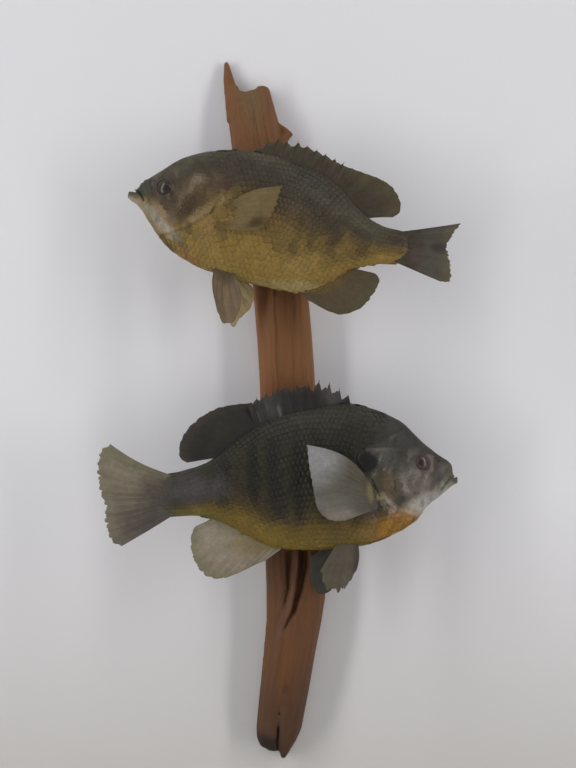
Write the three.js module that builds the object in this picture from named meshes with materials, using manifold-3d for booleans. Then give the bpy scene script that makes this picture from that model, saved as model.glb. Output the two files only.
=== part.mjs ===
// Two preserved sunfish, one above the other, on a weathered strip of driftwood that hangs flat on a wall.
// Millimetres. X runs to the viewer's right, Z runs up and +Y runs into the wall. The origin lies on the
// flat back of the wood, near its middle. The lower fish, a bluegill facing right, is divided into its
// parts. The upper fish faces left and is one solid.
import * as THREE from "three";
import { mergeVertices } from "three/addons/utils/BufferGeometryUtils.js";
import Module from "manifold-3d";

const wasm = await Module();
wasm.setup();

// ---------- Driving dimensions ----------
const WOOD_THICK = 22; // from the wall to the front of the wood
const MIDDLE_OFF_WALL = 38; // from the wall to the middle plane of each fish
const FIT_GAP = 0.3; // clearance between neighbouring pieces
const FIN_ROOT = 3; // how deep a fin of the back or belly starts inside the body
const REACH = 80; // from a fish's middle to past anything on it, for the cutters
const degrees = THREE.MathUtils.degToRad;

// ---------- Curves ----------
// A smooth function through [position, value] pairs that never overshoots them.
function through(pairs) {
  const step = pairs.slice(1).map(([x], i) => x - pairs[i][0]);
  const rise = step.map((h, i) => (pairs[i + 1][1] - pairs[i][1]) / h);
  const slope = pairs.map((_, i) => {
    const before = rise[Math.max(i - 1, 0)];
    const after = rise[Math.min(i, rise.length - 1)];
    return before * after <= 0 ? 0 : (2 * before * after) / (before + after);
  });
  return (x) => {
    let i = 0;
    while (i < step.length - 1 && x > pairs[i + 1][0]) i += 1;
    const h = step[i];
    const t = THREE.MathUtils.clamp((x - pairs[i][0]) / h, 0, 1);
    const t2 = t * t;
    const t3 = t2 * t;
    return (
      pairs[i][1] * (2 * t3 - 3 * t2 + 1) +
      pairs[i + 1][1] * (3 * t2 - 2 * t3) +
      slope[i] * h * (t3 - 2 * t2 + t) +
      slope[i + 1] * h * (t3 - t2)
    );
  };
}

const flat = (points) => points.map(([x, z]) => new THREE.Vector2(x, z));

// A line through a few points, read by share of its length.
function line(points) {
  const curve = new THREE.SplineCurve(flat(points));
  return (share) => curve.getPointAt(THREE.MathUtils.clamp(share, 0, 1));
}

// ---------- Solids ----------
// Closed geometry from rings of equal length, each a list of [x, y, z], with a fan on both ends.
function loft(rings) {
  const count = rings[0].length;
  const positions = rings.flat(2);
  const index = [];
  for (let r = 0; r + 1 < rings.length; r += 1)
    for (let k = 0; k < count; k += 1) {
      const a = r * count + k;
      const b = r * count + ((k + 1) % count);
      index.push(a, b, b + count, a, b + count, a + count);
    }
  [0, rings.length - 1].forEach((r) => {
    const middle = positions.length / 3;
    for (let axis = 0; axis < 3; axis += 1)
      positions.push(rings[r].reduce((sum, p) => sum + p[axis], 0) / count);
    for (let k = 0; k < count; k += 1) {
      const a = r * count + k;
      const b = r * count + ((k + 1) % count);
      if (r === 0) index.push(middle, b, a);
      else index.push(middle, a, b);
    }
  });
  const geometry = new THREE.BufferGeometry();
  geometry.setAttribute("position", new THREE.Float32BufferAttribute(positions, 3));
  geometry.setIndex(index);
  return geometry;
}

// A closed geometry as a solid, turned right side out.
function solid(geometry) {
  const bare = geometry.clone();
  bare.deleteAttribute("normal");
  bare.deleteAttribute("uv");
  const merged = mergeVertices(bare, 1e-4);
  const made = (triVerts) =>
    new wasm.Manifold(
      new wasm.Mesh({ numProp: 3, vertProperties: merged.attributes.position.array, triVerts }),
    );
  const faces = new Uint32Array(merged.index.array);
  const first = made(faces);
  if (first.volume() > 0) return first;
  for (let i = 0; i < faces.length; i += 3) [faces[i + 1], faces[i + 2]] = [faces[i + 2], faces[i + 1]];
  return made(faces);
}

function geometryOf(shape) {
  const mesh = shape.getMesh();
  const positions = new Float32Array(mesh.numVert * 3);
  for (let i = 0; i < mesh.numVert; i += 1)
    positions.set(mesh.vertProperties.subarray(i * mesh.numProp, i * mesh.numProp + 3), i * 3);
  const geometry = new THREE.BufferGeometry();
  geometry.setAttribute("position", new THREE.BufferAttribute(positions, 3));
  geometry.setIndex(new THREE.BufferAttribute(new Uint32Array(mesh.triVerts), 1));
  geometry.computeVertexNormals();
  return geometry;
}

// A prism that stands on an outline of [x, z] points and runs along Y from one value to another.
function prism(outline, from = -REACH, to = REACH) {
  const shape = new THREE.Shape(flat(outline));
  const geometry = new THREE.ExtrudeGeometry(shape, { depth: to - from, bevelEnabled: false });
  geometry.rotateX(Math.PI / 2);
  geometry.translate(0, to, 0);
  return solid(geometry);
}

// A thin wall that follows a line of [x, z] points, to part a solid with a narrow cut.
function ribbon(points, width) {
  const side = (sign) =>
    points.map(([x, z], i) => {
      const before = points[Math.max(i - 1, 0)];
      const after = points[Math.min(i + 1, points.length - 1)];
      const run = new THREE.Vector2(after[0] - before[0], after[1] - before[1]).normalize();
      return [x - (sign * run.y * width) / 2, z + (sign * run.x * width) / 2];
    });
  return prism([...side(1), ...side(-1).reverse()]);
}

// ---------- A sunfish ----------
// Its own frame: x from the tip of the lower jaw towards the tail, z up, and y across. The flank that faces
// the viewer is on the side that `near` gives, +1 or -1.
const RING_POINTS = 20; // around the body
const STATIONS = 20; // along the body
const CROWDING = 1.25; // over 1, the stations crowd towards the head
const LIP_STEP = 0.05; // the upper lip rises this far behind the last station of the lower jaw

function bodyShape(fish) {
  const back = through(fish.back);
  const jawTop = through(fish.jawTop);
  return {
    back,
    top: (x) => (x < fish.lipAt ? jawTop(x) : back(x)),
    belly: through(fish.belly),
    half: through(fish.halfWidth),
    widest: through(fish.widestAt),
    keel: through(fish.keel),
  };
}

// Carries a point of the straight fish onto its middle plane, which bends towards the viewer at the tail.
function curved(fish, [x, y, z]) {
  const past = Math.max(0, x - fish.swingFrom);
  const angle = Math.atan(2 * fish.swing * past) * fish.near;
  const middle = fish.near * fish.swing * past ** 2;
  return [x - y * Math.sin(angle), middle + y * Math.cos(angle), z];
}

// The whole body, larger all round by grow. A keel of 0.5 gives an oval section, and more a sharper edge.
function body(fish, grow = 0) {
  const { top, belly, half, widest, keel } = bodyShape(fish);
  const stations = [fish.tipAt, fish.lipAt / 2, fish.lipAt - LIP_STEP];
  for (let i = 0; i <= STATIONS; i += 1)
    stations.push(fish.lipAt + (fish.stalkEnd - fish.lipAt) * (i / STATIONS) ** CROWDING);
  const rings = stations.map((x, i) => {
    const beyond = i === 0 ? -grow : i === stations.length - 1 ? grow : 0;
    const middle = Math.min(widest(x), top(x) - 1);
    return Array.from({ length: RING_POINTS }, (_, k) => {
      const around = (2 * Math.PI * k) / RING_POINTS;
      const across = Math.cos(around);
      const up = Math.sin(around);
      const rise = up > 0 ? top(x) - middle : middle - belly(x);
      const y = (half(x) + grow) * Math.sign(across) * Math.abs(across) ** (2 * keel(x));
      return curved(fish, [x + beyond, y, middle + (rise + grow) * up]);
    });
  });
  return solid(loft(rings));
}

// The flank's distance from the middle plane at a place on the side of the body.
function flank(fish, x, z) {
  const { top, belly, half, widest, keel } = bodyShape(fish);
  const middle = widest(x);
  const rise = z > middle ? top(x) - middle : middle - belly(x);
  return half(x) * (1 - Math.min(Math.abs(z - middle) / rise, 1) ** 2) ** keel(x);
}

// A fin: a thin plate whose rays fan from a base line to a margin line. Between the tips of its rays the web
// dips by a share of their length. The rays bow in the fin's own plane, and lateral(reach) leans it.
function fin(fish, { base, margin, rays, rows = 2, dip = 0.03, bow = () => 0, lateral = () => 0, thick }) {
  const root = line(base);
  const edge = line(margin);
  const columns = rays * 2;
  const face = (side) => {
    const points = [];
    for (let i = 0; i <= columns; i += 1) {
      const share = i / columns;
      const from = root(share);
      const run = edge(share).sub(from);
      const across = new THREE.Vector2(-run.y, run.x).normalize();
      const length = i % 2 === 0 ? 1 : 1 - dip;
      for (let j = 0; j <= rows; j += 1) {
        const reach = (j / rows) * length;
        const p = from.clone().addScaledVector(run, reach);
        p.addScaledVector(across, bow(share) * Math.sin(Math.PI * reach));
        const web = THREE.MathUtils.lerp(thick[0], thick[1], reach) / 2;
        points.push(curved(fish, [p.x, lateral(reach) + side * web, p.y]));
      }
    }
    return points;
  };
  const low = face(-1);
  const high = face(1);
  const at = (i, j) => i * (rows + 1) + j;
  const index = [];
  const quad = (a, b, c, d) => index.push(a, b, c, a, c, d);
  const up = low.length;
  for (let i = 0; i < columns; i += 1) {
    for (let j = 0; j < rows; j += 1) {
      quad(at(i, j), at(i + 1, j), at(i + 1, j + 1), at(i, j + 1));
      quad(up + at(i, j), up + at(i, j + 1), up + at(i + 1, j + 1), up + at(i + 1, j));
    }
    quad(at(i, 0), up + at(i, 0), up + at(i + 1, 0), at(i + 1, 0));
    quad(at(i, rows), at(i + 1, rows), up + at(i + 1, rows), up + at(i, rows));
  }
  for (let j = 0; j < rows; j += 1) {
    quad(at(0, j), at(0, j + 1), up + at(0, j + 1), up + at(0, j));
    quad(at(columns, j), up + at(columns, j), up + at(columns, j + 1), at(columns, j + 1));
  }
  const geometry = new THREE.BufferGeometry();
  geometry.setAttribute("position", new THREE.Float32BufferAttribute([...low, ...high].flat(), 3));
  geometry.setIndex(index);
  return solid(geometry);
}

// The unpaired fins: the two of the back, the anal fin and the tail fin.
function middleFins(fish) {
  const { back, belly } = bodyShape(fish);
  const standing = (edge, spec, sink) => {
    const stretch = [0, 0.25, 0.5, 0.75, 1].map((share) => THREE.MathUtils.lerp(spec.from, spec.to, share));
    return fin(fish, { ...spec, base: stretch.map((x) => [x, edge(x) + sink]) });
  };
  return {
    spiny: standing(back, fish.spiny, -FIN_ROOT),
    soft: standing(back, fish.soft, -FIN_ROOT),
    anal: standing(belly, fish.anal, FIN_ROOT),
    tail: fin(fish, fish.tail),
  };
}

// A paired fin on one side. It starts inside the flank and stands out more with its reach.
const pairedFin = (fish, spec, side) =>
  fin(fish, { ...spec, lateral: (reach) => side * (spec.start + spec.flare * reach) });

// The raised gill cover with its ear flap on one side of the head, solid through to near the middle.
function gillCover(fish, side) {
  const outline = new THREE.SplineCurve(flat([...fish.gillCover, fish.gillCover[0]]));
  const points = outline.getPoints(fish.gillCover.length * 2).slice(0, -1);
  const span = side > 0 ? [1, REACH] : [-REACH, -1];
  return body(fish, FIT_GAP + fish.coverThick).intersect(prism(points.map((p) => [p.x, p.y]), ...span));
}

// An eyeball, flattened across, with its middle below the skin so that only a low dome stands out.
function eye(fish, side, grow = 0) {
  const { x, z, radius, depth, proud } = fish.eye;
  const geometry = new THREE.SphereGeometry(1, 16, 8);
  geometry.rotateX(Math.PI / 2);
  geometry.scale(radius + grow, depth + grow, radius + grow);
  geometry.translate(x, side * (flank(fish, x, z) + proud - depth), z);
  return solid(geometry);
}

// ---------- The lower fish: a bluegill, facing right ----------
const BLUEGILL = {
  jawTip: [110, -63],
  tilt: degrees(-3),
  heading: Math.PI,
  near: 1,
  swing: 0.0006,
  swingFrom: 110,
  stalkEnd: 191,
  tipAt: -2,
  lipAt: 1.6,
  jawTop: [[-2, 1.6], [1.6, 1.3]],
  back: [
    [1.6, 9.6], [3.8, 12.8], [10, 17.5], [18, 24.4], [25, 31.8], [32, 39.3], [44, 46.4], [60, 52.5],
    [70, 54], [93, 51.6], [120, 45.8], [144, 34], [164, 20.8], [184, 14.6], [191, 15.2],
  ],
  belly: [
    [-2, -2.4], [0, -3.2], [3, -4.9], [7, -8.2], [11, -11.3], [15, -13.9], [18, -16.2], [21, -19.5],
    [24, -23.6], [27, -26.5], [30, -28.3], [38, -32.6], [52, -38], [68, -41.5], [92, -41.8],
    [118, -39.6], [131, -34.8], [145, -26], [160, -18.2], [176, -14.6], [191, -15.9],
  ],
  halfWidth: [
    [-2, 1.8], [0, 3], [2.2, 4.4], [6, 6.6], [12, 8.8], [22, 11.8], [35, 15], [50, 17.8], [70, 19.2],
    [95, 18.6],
    [120, 15], [145, 10], [165, 6.8], [180, 4.8], [191, 2.6],
  ],
  widestAt: [[0, 0], [12, 4], [25, 7], [60, 5], [120, 2], [160, 0.5], [191, -0.2]],
  keel: [[0, 0.42], [25, 0.46], [60, 0.58], [120, 0.62], [165, 0.56], [191, 0.5]],
  eye: { x: 21.2, z: 12.6, radius: 5.4, depth: 3.6, proud: 1.6 },
  coverThick: 0.9,
  gillCover: [
    [38, 27], [48, 28.5], [57, 24.6], [63.4, 21.6], [64.8, 16.4], [59.8, 11], [54.6, 4], [50.4, -5],
    [45, -12.5], [36, -19], [30, -20.5], [35, -11], [39.5, 1], [40, 14],
  ],
  // Where the body is parted: the cleft of the mouth, the lower jaw's edge, the rear of the head and the
  // start of the tail stalk. The two fins of the back meet at a slanted seam.
  mouthCleft: [[-4, 3.6], [3, 1.9], [9.5, -5.3], [3, 0.9], [-4, 2.2]],
  jawEdge: [[-4, 2.9], [3, 1.3], [9.5, -5.4], [17, -9], [24, -15.5], [26, -30]],
  headEdge: [
    [57, 70], [60, 40], [61.5, 22], [56, 6], [48.6, -8.5], [42, -15.5], [33, -22.2], [26, -25.4], [22, -42],
  ],
  stalkFrom: 160,
  finSeam: [[130.4, 38], [135.6, 62]],
  spiny: {
    from: 66,
    to: 129,
    margin: [[69, 58.5], [76, 66.5], [86, 70], [100, 68.6], [114, 67], [126, 62], [134, 57]],
    rays: 10,
    dip: 0.24,
    thick: [2.2, 0.9],
  },
  soft: {
    from: 128,
    to: 154,
    margin: [[136, 58.5], [148, 56.6], [160, 53], [173, 44], [180, 31.5], [175.5, 22]],
    rays: 8,
    bow: (share) => -2.5 * share,
    thick: [2.2, 0.7],
  },
  anal: {
    from: 114,
    to: 159,
    margin: [
      [127, -46.6], [141, -52.2], [156, -57.4], [168, -54.4], [174.4, -45], [176.2, -33], [173.5, -23],
      [166, -19.6],
    ],
    rays: 10,
    thick: [2.2, 0.7],
  },
  tail: {
    base: [[186, -13.4], [186.5, 0], [186, 12.8]],
    margin: [
      [221, -31.6], [227.5, -28], [231, -15], [230.4, -5], [233.4, 6], [234.2, 20], [231.4, 31.4],
      [225, 35.6],
    ],
    rays: 11,
    dip: 0.04,
    thick: [2.6, 0.8],
  },
  pectoral: {
    base: [[53.6, -4.5], [52.4, -15]],
    margin: [[96.6, 29], [96, 17], [94.4, 3], [92, -12], [85, -19.6], [75, -21]],
    rays: 8,
    rows: 4,
    bow: (share) => 8 * (1 - share) ** 1.5,
    start: 16.4,
    flare: 9,
    thick: [2.4, 0.7],
  },
  farPectoral: {
    base: [[53.6, -4.5], [52.4, -15]],
    margin: [[84, 22], [85, 12], [84.4, 0], [82, -12], [77, -20], [70, -23]],
    rays: 8,
    rows: 3,
    bow: (share) => 6 * (1 - share) ** 1.5,
    start: 16,
    flare: 12,
    thick: [2.4, 0.7],
  },
  pelvic: {
    base: [[67, -37], [80.5, -38]],
    margin: [[68.5, -55], [73, -62.4], [79.6, -69], [85, -67.6], [89.8, -63], [91, -53]],
    rays: 5,
    dip: 0.06,
    bow: (share) => -1.5 * (1 - share),
    start: 4.5,
    flare: 8,
    thick: [2.6, 0.8],
  },
  farPelvic: {
    base: [[68, -37], [80, -38]],
    margin: [[80, -64], [86, -71], [92, -73], [96.6, -69], [98.6, -58], [97.8, -47]],
    rays: 5,
    dip: 0.06,
    bow: (share) => -2 * (1 - share),
    start: 4.5,
    flare: 4.5,
    thick: [2.6, 0.8],
  },
};

// ---------- The upper fish, facing left, built as one plain solid ----------
const UPPER = {
  jawTip: [-105.5, 126],
  tilt: degrees(10.5),
  heading: 0,
  near: -1,
  swing: 0.0022,
  swingFrom: 100,
  stalkEnd: 185,
  tipAt: 0,
  lipAt: 5.8,
  jawTop: [[0, 1.3], [5.8, 2.1]],
  back: [
    [5.8, 7.9], [12.4, 13.1], [20, 20], [26, 25.5], [34, 31.2], [42, 35.2], [50, 37.8], [67, 41.4], [82, 42.4], [108, 40], [122, 36.4],
    [137, 28.8], [151, 17.8], [163, 10.4], [176, 7.4], [185, 7.4],
  ],
  belly: [
    [0, -2.6], [3, -4.6], [6, -6.1], [9, -8.4], [12, -11], [15, -14.6], [18, -18], [24, -24.3], [30, -29.3],
    [38, -34], [46, -37], [55, -39.9], [73, -42.6], [100, -44.6],
    [118, -44.6], [130, -41.4], [142, -34], [155, -23], [166, -18.6], [178, -15.8], [185, -15.6],
  ],
  halfWidth: [
    [0, 1.9], [6, 5.4], [12, 8], [22, 11.6], [35, 15], [50, 17.6], [70, 19], [95, 18.2], [120, 14.6],
    [145, 9.4], [165, 6], [176, 4.4], [185, 2.6],
  ],
  widestAt: [[0, -1], [12, 0], [25, 0], [60, -2], [120, -3.5], [160, -3.4], [185, -3.4]],
  keel: [[0, 0.42], [25, 0.46], [60, 0.58], [120, 0.62], [165, 0.56], [185, 0.5]],
  eye: { x: 24, z: 6.6, radius: 5.4, depth: 3.6, proud: 1.6 },
  coverThick: 0.9,
  gillCover: [
    [39, 20], [50, 21.5], [60, 19.6], [66, 17.4], [67, 13.4], [63, 8], [59, 1], [54, -7],
    [46, -14.5], [37, -20], [31, -21.5], [36, -12], [41, -2], [41, 9],
  ],
  spiny: {
    from: 74,
    to: 136,
    margin: [[80, 47], [88, 53.4], [99, 55], [112, 52.6], [126, 48.6], [143, 43.4]],
    rays: 10,
    dip: 0.16,
    thick: [2.2, 0.9],
  },
  soft: {
    from: 134,
    to: 156,
    margin: [[139, 42.4], [155, 39.8], [167, 36.4], [175, 29], [177.6, 21], [173.5, 14.8]],
    rays: 7,
    bow: (share) => -2.5 * share,
    thick: [2.2, 0.7],
  },
  anal: {
    from: 120,
    to: 152,
    margin: [
      [130, -48], [144, -52.8], [154, -53.2], [164, -47.6], [170, -39.4], [173, -30], [171, -24],
      [161, -22.6],
    ],
    rays: 7,
    thick: [2.2, 0.7],
  },
  tail: {
    base: [[180, -13.8], [180.5, -3.4], [180, 5.6]],
    margin: [[211, -22.4], [217, -21], [214.6, -9], [209.6, 1], [211.4, 9], [214.6, 16]],
    rays: 8,
    thick: [2.6, 0.8],
  },
  pectoral: {
    base: [[61, -5], [62, -14]],
    margin: [[100, 20.4], [99, 12], [97.6, 3], [94.6, -5], [90, -10], [82, -13]],
    rays: 6,
    bow: (share) => 5 * (1 - share) ** 1.5,
    start: 16.8,
    flare: 4.5,
    thick: [2.4, 0.7],
  },
  farPectoral: {
    base: [[55, -10], [63, -13]],
    margin: [[56, -32], [61, -35.4], [67, -35.4], [72, -31.6], [75, -26]],
    rays: 6,
    start: 15.4,
    flare: 2.4,
    thick: [2.4, 0.7],
  },
  pelvic: {
    base: [[66, -37], [79, -39]],
    margin: [[69, -58], [73, -67], [78, -73.6], [84, -72], [87, -62], [86, -52]],
    rays: 4,
    bow: (share) => -1.5 * (1 - share),
    start: 4.5,
    flare: 7,
    thick: [2.6, 0.8],
  },
  farPelvic: {
    base: [[67, -37], [80, -39]],
    margin: [[78, -68], [84, -74], [88, -67], [93, -59], [94, -50], [91, -45]],
    rays: 4,
    bow: (share) => -2 * (1 - share),
    start: 4.5,
    flare: 5,
    thick: [2.6, 0.8],
  },
};

// ---------- Materials ----------
const finish = (color, roughness) => new THREE.MeshStandardMaterial({ color, roughness, metalness: 0 });
const FLANK = finish(0x4b4a36, 0.45);
const FACE = finish(0x6b6350, 0.45);
const PALE_FIN = finish(0x6f6656, 0.5);
const DARK_FIN = finish(0x2e2d26, 0.5);
const GLASS_EYE = finish(0x33120e, 0.1);
const GOLDEN = finish(0x776233, 0.45);
const WOOD = finish(0x6b4426, 0.75);

// ---------- The fish on the wood ----------
function mesh(name, shape, material) {
  const made = new THREE.Mesh(geometryOf(shape), material);
  made.name = name;
  return made;
}

// A group that carries a fish's own frame to its place.
function placed(fish) {
  const [x, z] = fish.jawTip;
  const group = new THREE.Group();
  group.position.set(x, -MIDDLE_OFF_WALL, z);
  group.rotation.set(0, fish.tilt, fish.heading, "YXZ");
  return group;
}

// The bluegill in its parts: thin cuts part the body, and each fin is cut clear of it.
function bluegill() {
  const fish = BLUEGILL;
  const group = placed(fish);
  const around = body(fish, FIT_GAP);
  const clear = (shape) => shape.subtract(around);
  const sides = [["right", 1], ["left", -1]];
  sides.forEach(([word, side]) => {
    group.add(mesh(`eye_${word}`, eye(fish, side), GLASS_EYE));
    group.add(mesh(`gill_cover_${word}`, clear(gillCover(fish, side)), FACE));
  });

  const headRegion = prism([...fish.headEdge, [-REACH, -REACH], [-REACH, REACH]]);
  const jawRegion = prism([...fish.jawEdge, [-REACH, -REACH]]);
  const stalkLine = [[fish.stalkFrom, -REACH], [fish.stalkFrom, REACH]];
  const pastStalk = fish.stalkEnd + 1;
  const stalkRegion = prism([...stalkLine, [pastStalk, REACH], [pastStalk, -REACH]]);
  const cuts = [
    ...sides.map(([, side]) => eye(fish, side, FIT_GAP)),
    ribbon(fish.headEdge, FIT_GAP),
    ribbon(fish.jawEdge, FIT_GAP),
    ribbon(stalkLine, FIT_GAP),
    prism(fish.mouthCleft),
  ];
  const parted = cuts.reduce((shape, cut) => shape.subtract(cut), body(fish));
  const front = parted.intersect(headRegion);
  group.add(mesh("head", front.subtract(jawRegion), FACE));
  group.add(mesh("lower_jaw", front.intersect(jawRegion), FACE));
  group.add(mesh("trunk", parted.subtract(headRegion).subtract(stalkRegion), FLANK));
  group.add(mesh("tail_stalk", parted.intersect(stalkRegion), FLANK));

  const { spiny, soft, anal, tail } = middleFins(fish);
  const seam = ribbon(fish.finSeam, FIT_GAP);
  const [seamFoot, seamTop] = fish.finSeam;
  const behindSeam = prism([seamFoot, seamTop, [pastStalk, seamTop[1]], [pastStalk, 0], [seamFoot[0], 0]]);
  group.add(mesh("dorsal_fin_spiny", clear(spiny).subtract(behindSeam).subtract(seam), DARK_FIN));
  group.add(mesh("dorsal_fin_soft", clear(soft).intersect(behindSeam).subtract(seam), DARK_FIN));
  group.add(mesh("anal_fin", clear(anal), PALE_FIN));
  group.add(mesh("tail_fin", clear(tail), PALE_FIN));
  const paired = {
    pectoral_fin_right: [fish.pectoral, 1, PALE_FIN],
    pectoral_fin_left: [fish.farPectoral, -1, PALE_FIN],
    pelvic_fin_right: [fish.pelvic, 1, DARK_FIN],
    pelvic_fin_left: [fish.farPelvic, -1, DARK_FIN],
  };
  Object.entries(paired).forEach(([name, [spec, side, material]]) =>
    group.add(mesh(name, clear(pairedFin(fish, spec, side)), material)),
  );
  return group;
}

// The upper fish: body, gill covers, eyes and fins joined in one.
function upperFish() {
  const fish = UPPER;
  const pieces = [
    ...Object.values(middleFins(fish)),
    ...[1, -1].map((side) => eye(fish, side)),
    ...[1, -1].map((side) => gillCover(fish, side)),
    pairedFin(fish, fish.pectoral, fish.near),
    pairedFin(fish, fish.farPectoral, -fish.near),
    pairedFin(fish, fish.pelvic, fish.near),
    pairedFin(fish, fish.farPelvic, -fish.near),
  ];
  const joined = pieces.reduce((shape, piece) => shape.add(piece), body(fish));
  return placed(fish).add(mesh("upper_fish", joined, GOLDEN));
}

// The room a fish takes in the wood: a shallow hollow that cradles its far flank.
function seat(fish) {
  const group = placed(fish);
  group.updateMatrix();
  return solid(geometryOf(body(fish, 2 * FIT_GAP)).applyMatrix4(group.matrix));
}

// ---------- The driftwood ----------
// A flat-backed strip that leans to the left at its top. Its edges and depth are [height, value] pairs.
const WOOD_FOOT = -255.5;
const WOOD_SHOULDER = 203;
const WOOD_LEFT = [
  [WOOD_FOOT, -4.8], [-249.8, -6.4], [-249, -15], [-245.4, -20.4], [-239, -21.4], [-205, -18.8],
  [-150, -14.4], [-118, -15.6], [0, -19.5], [60, -23.2], [157, -37.8], [WOOD_SHOULDER, -43.6],
];
const WOOD_RIGHT = [
  [WOOD_FOOT, -1.8], [-250, 1.4], [-242, 6.6], [-233, 10], [-219, 12.8], [-192, 17.5], [-172, 21.4], [-139, 26.4],
  [-80, 21], [0, 18.4], [57, 14], [120, 4], [166, -5.2], [176, -5.4], [188, -9.8], [WOOD_SHOULDER, -12.8],
];
const WOOD_DEPTH = [
  [WOOD_FOOT, 9], [-246, 15], [-215, 20], [-120, WOOD_THICK], [150, WOOD_THICK], [180, 17],
  [WOOD_SHOULDER, 13],
];
// The tall splinter at the top left and the hooked stub of a twig at the right: [height, left, right, depth].
const SPLINTER = [
  [180, -42, -28, 12], [194, -43.2, -31, 11], [200, -43.8, -33.8, 9], [210, -44.6, -37.6, 7],
  [221, -43.8, -41.2, 4],
];
const TWIG_STUB = [
  [158, -16, -4, 14], [168, -12, 0.5, 12], [171.4, -8, 4, 9], [174, -8, 1.4, 9], [179, -9, -6, 8],
];
const NOTCH = [[-36.6, 218], [-35, 204], [-33, 199], [-28.4, 198.4], [-21.8, 201], [-20.2, 203.4], [-20, 218]];
// Furrows in the front, the two grooves of the gouge below the lower fish, with a ridge left between them,
// and the split of the foot: [x, height, half width, depth].
const GOUGE = [
  [12, -94, 7, 6], [11, -124, 6.5, 9], [8, -139, 5.5, 8], [3.7, -153, 4.5, 7], [-3.7, -167, 3, 4],
  [-7, -174, 1.5, 1],
];
const GOUGE_LEFT = [
  [1, -94, 6, 6], [0, -124, 5, 6], [0, -138, 4, 5], [-2.4, -148, 3, 5], [-8.4, -164, 2.5, 4],
  [-11, -171, 1.2, 1],
];
const SPLIT = [
  [-6.8, -260, 3, 20], [-7.2, -242, 3, 16], [-6, -224, 2.6, 9], [-3.6, -211, 2, 5], [-1, -200, 1, 1],
];

const FOOT_SECTIONS = [WOOD_FOOT, -252.4, -249.8, -249, -246.2, -242]; // heights where the foot is cut
const EVEN_FROM = -236; // above this the sections are evenly spaced
const EVEN_ROWS = 18;
const WOOD_COLUMNS = 9; // across the rounded front
const SIDE_SHARE = 0.12; // the straight side's share of the depth
const SQUARENESS = 4.5; // 2 for an oval front, more for a flatter one

// One cross-section: a straight back on the wall and a rounded front.
function woodRing(left, right, depth, z) {
  const ring = [];
  for (let i = 0; i <= WOOD_COLUMNS; i += 1) {
    const u = -Math.cos((Math.PI * i) / WOOD_COLUMNS);
    const bulge = Math.sqrt(1 - Math.abs(u) ** SQUARENESS);
    const y = -depth * (SIDE_SHARE + (1 - SIDE_SHARE) * bulge);
    ring.push([(left + right + (right - left) * u) / 2, y, z]);
  }
  ring.push([right, 0, z], [(left + right) / 2, 0, z], [left, 0, z]);
  return ring;
}

const stub = (sections) =>
  solid(loft(sections.map(([z, left, right, depth]) => woodRing(left, right, depth, z))));

// A furrow cut into the front of the wood, V-shaped across.
function furrow(sections) {
  const mouth = -WOOD_THICK - 4;
  const rings = sections.map(([x, z, half, depth]) => [
    [x - half, mouth, z],
    [x, -WOOD_THICK + depth, z],
    [x + half, mouth, z],
  ]);
  return solid(loft(rings));
}

function driftwood() {
  const left = through(WOOD_LEFT);
  const right = through(WOOD_RIGHT);
  const depth = through(WOOD_DEPTH);
  const even = (i) => EVEN_FROM + ((WOOD_SHOULDER - EVEN_FROM) * i) / EVEN_ROWS;
  const heights = [...FOOT_SECTIONS, ...Array.from({ length: EVEN_ROWS + 1 }, (_, i) => even(i))];
  const strip = solid(loft(heights.map((z) => woodRing(left(z), right(z), depth(z), z))));
  const whole = strip.add(stub(SPLINTER)).add(stub(TWIG_STUB));
  const cuts = [prism(NOTCH), furrow(GOUGE), furrow(GOUGE_LEFT), furrow(SPLIT), seat(BLUEGILL), seat(UPPER)];
  return cuts.reduce((shape, cut) => shape.subtract(cut), whole);
}

const mount = new THREE.Group();
mount.add(mesh("driftwood", driftwood(), WOOD), bluegill(), upperFish());

export default mount;
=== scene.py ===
# Two stuffed sunfish on a strip of driftwood, hung on a wall: looks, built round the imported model.
import math

import bpy
import numpy as np
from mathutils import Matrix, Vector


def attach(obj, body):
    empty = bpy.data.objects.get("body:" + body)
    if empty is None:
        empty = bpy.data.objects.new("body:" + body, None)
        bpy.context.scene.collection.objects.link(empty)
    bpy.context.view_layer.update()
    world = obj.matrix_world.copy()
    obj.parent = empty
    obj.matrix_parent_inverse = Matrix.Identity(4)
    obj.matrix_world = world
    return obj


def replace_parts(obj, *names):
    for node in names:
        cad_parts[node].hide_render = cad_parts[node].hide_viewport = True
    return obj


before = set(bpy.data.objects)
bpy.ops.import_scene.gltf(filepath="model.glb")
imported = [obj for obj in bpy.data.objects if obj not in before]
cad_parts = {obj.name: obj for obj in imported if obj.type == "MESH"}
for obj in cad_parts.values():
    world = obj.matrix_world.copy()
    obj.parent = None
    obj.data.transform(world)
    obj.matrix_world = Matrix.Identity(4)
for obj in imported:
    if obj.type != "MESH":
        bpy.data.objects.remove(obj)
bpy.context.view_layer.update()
MM = 0.001

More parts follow.
